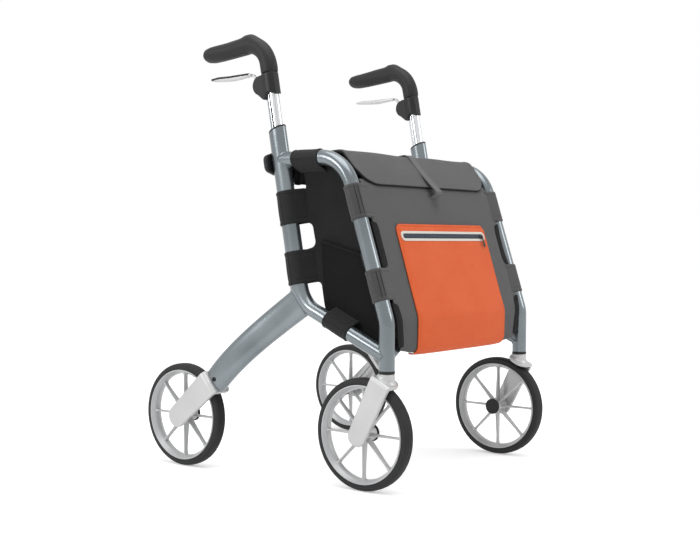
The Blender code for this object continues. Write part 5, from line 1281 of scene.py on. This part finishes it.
def cover_spot(u, v, lift=0.0):
    """A point of the cover; v runs from its lower end up, and lift stands it off the cloth."""
    point, along = COVER(1 - v)
    half = cover_half(point.y) - 0.056 * math.sqrt(1 - min(v * COVER_LENGTH / 0.027, 1.0))
    x = (2 * u - 1) * half
    edge = abs(2 * u - 1)
    free = 1 - hold(point.y)
    sag = 0.0022 * math.sin(math.pi * u) * clamp((0.435 - point.y) / 0.08) * clamp((point.y - 0.26) / 0.06)
    sag += 0.0016 * free * max(edge - 0.88, 0) / 0.12
    pull = 1 - 0.014 * free * edge ** 8 if point.y > 0.33 else 1.0
    return in_space(x * pull, point + beside(along) * (lift - sag))


across, down = steps(56, 0.006, 0.02, 0.98, 0.994), steps(88, 0.003, 0.006, 0.016)
cover = laid("front_cover", cover_spot, across, down, 0.419, COVER_LENGTH, CLOTH)
cross_body(cover, grey_fabric, "grey_fabric", "frame_left", "bag_front")
print("cover:", len(cover.data.polygons), "faces,", round(COVER_LENGTH, 3), "m long")

# %% Bindings on the free edges
def share_at(z):
    return min(range(501), key=lambda k: abs(COVER(k / 500)[0].y - z)) / 500


def tape_on(side, bottom, top):
    """A tape folded over a side edge of the cover, with a stitched groove along each of its own edges."""

    def spot(u, v):
        across = u if side == -1 else 1 - u
        end = math.sqrt(max(1 - (abs(2 * v - 1) ** 14), 0.0))
        width = (0.0170 * across) * (0.35 + 0.65 * end)
        base = cover_spot(0.0 if side == -1 else 1.0, bottom + (top - bottom) * v, 0.0007)
        ridge = 0.0005 * math.sin(math.pi * across) - 0.0004 * (dip(across, 0.25, 0.06) + dip(across, 0.82, 0.06))
        return base + Vector((-side * (width - 0.0062), -ridge * 0.95, ridge * 0.3))

    return spot


for number, (high, low) in enumerate(((0.474, 0.393), (0.331, 0.252))):
    for side, side_name in ((-1, "left"), (1, "right")):
        spot = tape_on(side, 1 - share_at(low), 1 - share_at(high))
        binding = laid(f"edge_tape_{number}_{side_name}", spot, steps(24), steps(40), 0.0125, high - low, 0.0038)
        cross_body(binding, black_binding, "black_fabric", "frame_left")
print("cover edges bound")

# %% [markdown]
# ## Sleeves
# Each sleeve is one closed sheet round its tube, drawn out to a flat tab on the side where it is sewn to the bag. Its
# ends are rolled hems, and stitched lines run along it. Its section is the taut line round the tube and the tab's end.

# %% Sleeve section
TAB_SHARE = 0.2


def taut(depth, width, tab, spread=0.0011):
    """A section as a function of a share: a taut line from the end of a tab round an oval and back, with normals."""
    end = Vector((tab[0] / depth, tab[1] / width))
    phi, half = math.atan2(end.y, end.x), math.acos(min(1 / end.length, 1.0))
    first, last = phi + half, phi + 2 * math.pi - half

    def at(share):
        on_tab = min(share, 1 - share)
        if on_tab < TAB_SHARE:
            angle = first if share < TAB_SHARE else last
            touch = Vector((math.cos(angle), math.sin(angle)))
            t = on_tab / TAB_SHARE
            spot = end.lerp(touch, t)
            out = Vector((touch.x / depth, touch.y / width)).normalized()
            lift = spread * (1 - t) if on_tab else 0.0
            return Vector((spot.x * depth, spot.y * width)) + out * lift, out, angle
        angle = first + (last - first) * (share - TAB_SHARE) / (1 - 2 * TAB_SHARE)
        out = Vector((math.cos(angle) / depth, math.sin(angle) / width)).normalized()
        return Vector((math.cos(angle) * depth, math.sin(angle) * width)), out, angle

    return at, first, last

# %% Sleeves
def sleeve(name, first, last, depth, width, tab, seams):
    """A cloth sleeve between two side-view points; tab is (back, inward) from the axis, seams are angles."""
    size = (last - first).length
    along = (last - first).normalized()
    section, low, high = taut(depth, width, tab)
    marks = [TAB_SHARE + (1 - 2 * TAB_SHARE) * (math.radians(seam) - low) / (high - low) for seam in seams]

    def spot(u, v):
        flat, out, angle = section(u)
        mark = v * size
        end = min(mark, size - mark)
        swell = 0.0006 * dip(end, 0.0035, 0.0022) - 0.0009 * dip(end, 0.0, 0.0008) - 0.0004 * dip(end, 0.0078, 0.0008)
        swell += max(0.0005 * dip(u, m + 0.022, 0.02) - 0.0008 * dip(u, m, 0.004) for m in marks)
        swell += 0.00025 * math.sin(2.2 * mark / size * math.pi + 2 * angle) * min(end / 0.01, 1)
        flat = flat + out * swell
        return in_space(-HALF_WIDTH + flat.y, first + along * mark + beside(along) * flat.x)

    ends = (0.0, 0.0006, 0.0016, 0.0035, 0.0055, 0.0070, 0.0078, 0.0086, 0.011)
    shares = sorted({e / size for e in ends} | {1 - e / size for e in ends} | {
        (0.011 + (size - 0.022) * k / 12) / size for k in range(13)
    })
    fine = [m + d for m in marks for d in (-0.008, -0.004, -0.002, 0, 0.002, 0.004, 0.008)]
    girth = 2 * math.pi * depth + 0.03
    return laid(name, spot, steps(80, 0.004, 0.996, *fine), shares, girth, size, 0.0011, closed=True)


def black_sleeve(name, first, last, depth, width, tab, seam):
    piece = sleeve(name, first, last, depth, width, tab, (seam,))
    both_sides(piece, sleeve_fabric, "black_fabric", "frame")


def bottom_point(y, above=0.0):
    """A point above the axis of the bottom tube."""
    return Vector((y, FOOT.y - math.tan(BOTTOM_SLOPE) * (FOOT.x - y) + above))


FACE_BACK = Vector((math.cos(FRONT_LEAN), -math.sin(FRONT_LEAN)))
for number, (high, low) in enumerate(SLEEVES):
    first, last = front_point(0, low + 0.001), front_point(0, high - 0.002)
    piece = sleeve(f"front_sleeve_{number}", first, last, 0.0157, 0.0157, (-0.0102, 0.0290), (250, 282))
    both_sides(piece, front_sleeve_fabric, "grey_fabric", "frame")
    axis = [front_point(0, low + 0.003).lerp(front_point(0, high - 0.004), k / 8) for k in range(9)]
    for seam in (196, 222):
        c, s = 0.0159 * math.cos(math.radians(seam)), 0.0159 * math.sin(math.radians(seam))
        line = [in_space(-HALF_WIDTH + s, spot + FACE_BACK * c) for spot in axis]
        both_sides(cord(f"sleeve_seam_{number}_{seam}", line, 0.0005), black_binding, "black_fabric", "frame")
for number, (high, low) in enumerate(((0.531, 0.469), (0.420, 0.3595))):
    first, last = handle_point(low), handle_point(high)
    black_sleeve(f"rear_sleeve_{number}", first, last, 0.0203, 0.0160, (-0.033, 0.0160), 276)
for name, first, last in (
    ("top_sleeve", Vector((-0.047, TOP_Z)), Vector((-0.110, TOP_Z))),
    ("bottom_sleeve", bottom_point(-0.178), bottom_point(-0.124)),
):
    black_sleeve(name, first, last, 0.0158, 0.0158, (-0.024, 0.0155), 262)
print("twelve sleeves")

# %% [markdown]
# ## Side panels
# A panel's outline is drawn in side view, with two rounded gaps at the handle tube where it is cut away between its
# sleeves. The flat face is filled, sliced into small squares, and only then given its folds, so that it can hang
# softly, and at last its thickness.

# %% Flat cloth
def flat_cloth(name, outline, x, swell, thickness, pitch=0.007):
    """Cloth cut to a side-view outline at a distance from the middle; swell(y, z) moves it outwards."""
    start_fresh()
    bpy.ops.mesh.primitive_circle_add(vertices=len(outline), radius=1, fill_type="NGON")
    piece = bpy.context.object
    piece.name = name
    for vertex, p in zip(piece.data.vertices, outline):
        vertex.co = (-x, p.x, p.y)
    jobs = [(bpy.ops.mesh.quads_convert_to_tris, {"ngon_method": "BEAUTY"})]
    for axis in (1, 2):
        first, last = min(p[axis - 1] for p in outline), max(p[axis - 1] for p in outline)
        for k in range(1, int((last - first) / pitch)):
            spot, normal = [0, 0, 0], [0, 0, 0]
            spot[axis], normal[axis] = first + k * pitch, 1
            jobs.append((bpy.ops.mesh.bisect, {"plane_co": spot, "plane_no": normal}))
    edit_all(piece, *jobs)
    mesh = piece.data
    if mesh.polygons[0].normal.x > 0:
        mesh.flip_normals()
    layer = mesh.uv_layers.new(name="metres")
    for loop in mesh.loops:
        layer.data[loop.index].uv = mesh.vertices[loop.vertex_index].co.yz
    for vertex in mesh.vertices:
        vertex.co.x -= swell(vertex.co.y, vertex.co.z)
    apply_modifier(piece, "SOLIDIFY", thickness=thickness, offset=-1)
    return piece


def soft_outline(corners):
    """A closed outline from (point, corner radius) pairs."""
    ring = []
    for k, (here, radius) in enumerate(corners):
        before, after = corners[k - 1][0], corners[(k + 1) % len(corners)][0]
        bend = bent_path([before, here, after], [radius], math.radians(15))[1:-1] if radius else [(here, None)]
        ring += [point for point, _ in bend]
    return ring

# %% Panels
PLATE_N = 0.0165
panel_corners = [
    (Vector((-0.046, TOP_Z)), 0), (Vector((-0.058, 0.556)), 0), (Vector((-0.061, 0.536)), 0.004),
    (handle_point(0.5305), 0), (handle_point(0.4690), 0),
    (handle_point(0.4665) - HANDLE_BACK * 0.0395, 0.011), (handle_point(0.4225) - HANDLE_BACK * 0.0415, 0.012),
    (handle_point(0.4200), 0), (handle_point(0.3600), 0), (handle_point(0.3585) - HANDLE_BACK * 0.041, 0.009),
    (Vector((-0.101, 0.344)), 0.02), (bottom_point(-0.109), 0), (bottom_point(-0.232), 0),
    (front_point(PLATE_N, 0.262), 0), (front_point(PLATE_N, 0.568), 0.01), (front_point(PLATE_N + 0.012, 0.587), 0),
]


def panel_swell(y, z):
    """Shallow hanging folds, none at the tubes."""
    into = clamp((-0.055 - y) / 0.05) * clamp((0.585 - z) / 0.05)
    fold = 0.0010 * dip(y + 0.17 * (z - 0.5), -0.075, 0.006) + 0.0012 * dip(y + 0.10 * (z - 0.5), -0.118, 0.012)
    return -0.0016 * into + into * fold + 0.0006 * into * math.sin(95 * z + 40 * y)


panel = flat_cloth("side_cloth", soft_outline(panel_corners), 0.2135, panel_swell, 0.0021)
both_sides(panel, black_fabric, "black_fabric", "frame", "side_panel")
print("side panel:", len(panel.data.polygons), "faces")

# %% Gathers, mesh pocket and piping
def gather_swell(y, z):
    return clamp((0.586 - z) / 0.02) * (0.0030 * math.sin(y * 420 + 60 * z) + 0.0012 * math.sin(z * 260 + 2))


gather_outline = [Vector(p) for p in (
    (-0.017, 0.588), (-0.019, 0.556), (-0.022, 0.5485), (-0.027, 0.5445), (-0.034, 0.5430), (-0.044, 0.5440),
    (-0.066, 0.5410), (-0.068, 0.588),
)]
gathers = flat_cloth("side_gathers", gather_outline, 0.2070, gather_swell, 0.0016, 0.0022)
both_sides(gathers, black_binding, "black_fabric", "frame")
NET_N, NET_REAR = 0.0178, Vector((-0.098, 0.440))
net_corners = [
    (NET_REAR, 0), (Vector((-0.108, bottom_point(-0.108, 0.0175).y + 0.003)), 0), (bottom_point(-0.222, 0.0205), 0),
    (front_point(NET_N, 0.268), 0), (front_point(NET_N, 0.413), 0),
]


def net_swell(y, z):
    """The pocket stands off the panel in its middle and is sewn down at its edges."""
    across = clamp((-0.100 - y) / 0.02) * clamp((y - front_point(NET_N, z).x) / 0.02)
    up = clamp((z - bottom_point(y, 0.02).y) / 0.03)
    return 0.0028 * across * up + 0.0008 * across * up * math.sin(z * 70 + y * 40)


mesh_pocket = flat_cloth("net_pocket", soft_outline(net_corners), 0.2154, net_swell, 0.0012)
both_sides(mesh_pocket, black_mesh, "black_mesh", "frame", "mesh_pocket")
edge_line = []
for k in range(25):
    flat = NET_REAR.lerp(front_point(NET_N, 0.413), k / 24)
    edge_line.append(in_space(-0.2163 - net_swell(flat.x, flat.y - 0.004), flat))
both_sides(cord("net_piping", edge_line, 0.0021), black_binding, "black_fabric", "frame")
print("net pocket:", len(mesh_pocket.data.polygons), "faces")

# %% [markdown]
# ## Pocket and zip
# The orange pocket lies on the cover and follows it round below the bag. It is fuller than the cover, so it stands
# off a little in its middle, and a stitched line runs inside its edge. The zip has a pale welded frame with a raised
# rim, a closed chain with a fine groove along its middle, and a slider with a hanging puller.

# %% Pocket
POCKET_TOP, POCKET_WIDTH = 1 - share_at(0.470), 0.298
POCKET_LENGTH = POCKET_TOP * COVER_LENGTH


def pocket_spot(u, v):
    """A point of the pocket; v runs from its lower end up to its top edge."""
    down, up = (1 - v) * POCKET_LENGTH, min(v * POCKET_LENGTH, 0.02)
    inset = 0.014 - math.sqrt(max(0.014 ** 2 - (0.014 - min(down, 0.014)) ** 2, 0.0)) + 0.010 * (1 - up / 0.02) ** 2
    half = POCKET_WIDTH / 2 - inset
    x = (2 * u - 1) * half
    point, along = COVER(1 - v * POCKET_TOP)
    spot = cover_spot(0.5 + x / (2 * cover_half(point.y)), v * POCKET_TOP)
    edge = min(half - abs(x), down)
    lift = 0.0026 + 0.0016 * (1 - math.exp(-edge / 0.012)) - 0.0007 * dip(edge, 0.0048, 0.0008)
    lift += 0.0012 * math.sin(math.pi * u) * math.sin(math.pi * min(v * 1.1, 1)) + 0.0003 * dip(edge, 0.0024, 0.0012)
    return in_space(x, spot.yz + beside(along) * lift)


fine_u = [d / POCKET_WIDTH for d in (0.0008, 0.0018, 0.0028, 0.0040, 0.0048, 0.0056, 0.0068, 0.010)]
fine_v = [1 - d / POCKET_LENGTH for d in (0.0006, 0.0018, 0.0030, 0.0040, 0.0048, 0.0056, 0.0070, 0.010)]
across, down = steps(40, *fine_u, *(1 - u for u in fine_u)), steps(70, *fine_v)
pocket = laid("front_pocket", pocket_spot, across, down, POCKET_WIDTH, POCKET_LENGTH, 0.0016)
cross_body(pocket, orange_fabric, "orange_fabric", "frame_left", "pocket_panel")
print("pocket:", len(pocket.data.polygons), "faces")

# %% Zip
FACE_UP = Vector((math.sin(FRONT_LEAN), math.cos(FRONT_LEAN)))


def on_face(u, up, n):
    """A point u across and up along the cover's plane from the zip's middle, n behind the plane of the tubes."""
    return in_space(u, front_point(n, 0.449) + FACE_UP * up)


def slot_ring(half_width, half_height, n, count=14):
    ring = []
    for middle, first in ((half_width - half_height, -90), (half_height - half_width, 90)):
        for k in range(count + 1):
            a = math.radians(first + 180 * k / count)
            ring.append(on_face(middle + half_height * math.cos(a), half_height * math.sin(a), n))
    return ring


ZIP_N, CHAIN_HALF = -(AHEAD + 0.0041), 0.0047
rim_profile = (
    (0.0, 0.0008), (0.0, -0.0006), (0.0006, -0.0012), (0.0014, -0.0013), (0.0020, -0.0010), (0.0026, -0.0010),
    (0.0033, -0.0013), (0.0041, -0.0012), (0.0047, -0.0006), (0.0047, 0.0008),
)
surround = skin("zip_border", [slot_ring(0.141 - i, 2 * CHAIN_HALF - i, ZIP_N + n) for i, n in rim_profile], loop=True)
cross_body(surround, zip_frame, "zip_surround", "frame_left", "zip_surround")
chain_profile = (
    (-0.0047, 0.0006), (-0.0047, -0.0001), (-0.0024, -0.0002), (-0.0020, -0.0007), (-0.0006, -0.0008), (0.0, -0.0002),
    (0.0006, -0.0008), (0.0020, -0.0007), (0.0024, -0.0002), (0.0047, -0.0001), (0.0047, 0.0006),
)


def chain_spot(u, v):
    up, n = chain_profile[round(v * (len(chain_profile) - 1))]
    end = CHAIN_HALF - math.sqrt(max(CHAIN_HALF ** 2 - up ** 2, 0.0))
    tooth = 0.00012 * math.sin(u * 2 * math.pi * 88) if abs(up) in (0.0020, 0.0006) else 0.0
    return on_face((2 * u - 1) * (0.1366 - end), up, ZIP_N + n - tooth)


chain = laid("zip_teeth", chain_spot, steps(528), steps(10), 0.2628, 0.0094)
edit_all(chain, FILL_ENDS, FACE_OUT)
cross_body(chain, zip_tape, "zip_tape", "frame_left", "zip_chain")

# %% Zip slider
def face_slab(name, outline, first, last, bevel):
    """A small plate drawn on the zip's plane, with a rounded rim."""
    piece = skin(name, [[on_face(SLIDER_AT + u, up, ZIP_N - n) for u, up in outline] for n in (first, last)])
    round_rim(piece, bevel)
    return piece


SLIDER_AT = 0.131 - CHAIN_HALF
nose = [(-0.0048, -0.0018), (-0.0030, -0.0036), (0.0036, -0.0030), (0.0044, 0.0)]
slider_body = face_slab("slider_body", nose + [(u, -up) for u, up in reversed(nose[:3])], 0.0034, 0.0010, 0.0007)
bridge_outline = [(-0.0022, -0.0012), (0.0030, -0.0012), (0.0030, 0.0012), (-0.0022, 0.0012)]
slider_bridge = face_slab("slider_bridge", bridge_outline, 0.0048, 0.0030, 0.0006)
pull_half = [
    (0.0016, 0.0018), (0.0022, 0.0004), (0.0019, -0.0090), (0.0030, -0.0115), (0.0031, -0.0200), (0.0018, -0.0222),
]
pull_outline = [(-0.0016, 0.0018)] + pull_half + [(-u, up) for u, up in reversed(pull_half[1:])]
puller = face_slab("slider_pull", pull_outline, 0.0056, 0.0042, 0.0005)
slider = joined("zip_puller", [slider_body, slider_bridge, puller])
cross_body(slider, dark_metal, "steel", "zip_slider", "zip_slider")
print("zip: frame, chain and slider")

# %% [markdown]
# ## Lid and strap
# The lid is one sheet from its hinge over the top of the bag and down the front, with wide round corners. Its free
# edge has a dark piping. It sags a little between its sides and its ridge is soft. The strap lies over its middle and
# ends in a folded loop that stands clear of the cover.

# %% Lid
LID_AT, LID_LENGTH = sampled(bent_path([LID_BACK, LID_RIDGE, LID_FRONT], [0.016], math.radians(6)))
LID_CORNER = 0.047


def lid_half(v):
    up = min((1 - v) * LID_LENGTH, LID_CORNER)
    return 0.2098 - LID_CORNER + math.sqrt(max(LID_CORNER ** 2 - (LID_CORNER - up) ** 2, 0.0))


def lid_spot(u, v, lift=0.0):
    point, along = LID_AT(v)
    x = (2 * u - 1) * lid_half(v)
    span = math.cos(math.pi * x / 0.43)
    dent = 0.0024 * span * dip(v, 0.30, 0.22) - 0.0014 * span * dip(v, 0.75, 0.15) - 0.0008 * dip(abs(x), 0.204, 0.004)
    dent += 0.0010 * math.sin(34 * x + 5 * v) * dip(v, 0.55, 0.2) * min((1 - v) * 5, 1)
    return in_space(x, point + beside(along) * (lift - dent))


corner_shares = (0.85, 0.7, 0.56, 0.44, 0.33, 0.24, 0.16, 0.10, 0.05, 0.02, 0.005)
corner_rows = [1 - LID_CORNER * share / LID_LENGTH for share in corner_shares]
across, down = steps(64, 0.006, 0.015, 0.985, 0.994), steps(34, *corner_rows)
lid_cloth = laid("lid_cloth", lid_spot, across, down, 0.42, LID_LENGTH, CLOTH)
cross_body(lid_cloth, lid_fabric, "lid_fabric", "lid", "lid")
rows = [0.30, 0.40, 0.50, 0.58] + corner_rows
down_side = [lid_spot(0.0, v, -0.0012) for v in rows]
across_edge = [lid_spot(u, 1.0, -0.0012) for u in steps(40)]
up_side = [lid_spot(1.0, v, -0.0012) for v in reversed(rows)]
cross_body(cord("lid_piping", down_side + across_edge + up_side, 0.0017), black_binding, "black_fabric", "lid")
print("lid:", len(lid_cloth.data.polygons), "faces")

# %% Strap
strap_corners = [Vector(p) for p in (
    (-0.112, 0.6016), (-0.1425, 0.6052), (-0.1740, 0.5690), (-0.2125, 0.5310), (-0.1975, 0.5235),
)]
STRAP_AT, STRAP_LENGTH = sampled(bent_path(strap_corners, [0.017, 0.05, 0.003], math.radians(8)))


def strap_spot(u, v):
    point, along = STRAP_AT(v)
    rim = 0.0003 * (dip(abs(2 * u - 1), 0.82, 0.05) - dip(abs(2 * u - 1), 0.70, 0.04))
    bow = 0.0016 * math.sin(math.pi * min(v / 0.9, 1))
    return in_space((2 * u - 1) * 0.0105 - bow, point + beside(along) * rim)


strap = laid("strap_band", strap_spot, steps(20), steps(60), 0.021, STRAP_LENGTH, 0.0018)
cross_body(strap, strap_webbing, "strap_webbing", "lid", "lid_strap")
print("strap:", round(STRAP_LENGTH, 3), "m")

# %% [markdown]
# ## Inner bag
# Behind the folding bars hangs the bag itself: front wall, floor and rear wall are one long sheet that sags on the
# floor, with soft folds in its walls. A rolled hem along its rear edge closes the gap below the lid's hinge.

# %% Inner bag
BAG_N, BAG_WIDTH = 0.0355, 0.4208
floor_front = front_point(BAG_N, 0.250)
floor_rear = floor_front + Vector((math.cos(BOTTOM_SLOPE), math.sin(BOTTOM_SLOPE))) * 0.140
bag_corners = [front_point(BAG_N, 0.587), floor_front, floor_rear, Vector((-0.0768, 0.5958))]
BAG_AT, BAG_LENGTH = sampled(bent_path(bag_corners, [0.015, 0.020], math.radians(10)))


def bag_spot(u, v):
    point, along = BAG_AT(v)
    x = (1 - 2 * u) * BAG_WIDTH / 2
    span = math.cos(math.pi * x / 0.44)
    fold = 0.0016 * math.sin(60 * x + 9 * v) * math.sin(math.pi * v) + 0.0012 * math.sin(140 * x * v + 3)
    return in_space(x, point + beside(along) * (fold * span + 0.0015 * span))


bag = laid("inner_bag", bag_spot, steps(60), steps(90), BAG_WIDTH, BAG_LENGTH, -CLOTH)
cross_body(bag, black_fabric, "black_fabric", "frame_left", "bag_body")
hinge_line = [Vector((x * 0.0261, -0.0750, 0.5962)) for x in range(-8, 9)]
cross_body(cord("hinge_roll", hinge_line, 0.0026), black_binding, "black_fabric", "frame_left")
print("inner bag:", len(bag.data.polygons), "faces")

# %% [markdown]
# ## Bracket and sizes
# A small black bracket sits in the corner below the leg's top. It is the last piece. The size of the whole object is
# then written beside the size of the solids, so that the two can be compared.

# %% Bracket under the leg
bracket_corners = [(-0.006, -0.0225), (0.013, -0.0205), (0.0165, -0.0165), (0.0150, -0.0120), (-0.010, -0.0120)]
bracket_at = FOOT - Vector((0.004, 0))
bracket_rings = [[in_space(x, bracket_at + Vector(p)) for p in bracket_corners] for x in (-0.2330, -0.2230)]
bracket = skin("leg_bracket", bracket_rings)
round_rim(bracket, 0.0016, 30)
both_sides(bracket, black_plastic, "black_plastic", "frame")
print("bracket on both sides")

# %% Sizes
size = {"cad": [list(corner) for corner in cad_box], "visual": [list(corner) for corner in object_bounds()]}
print(size)
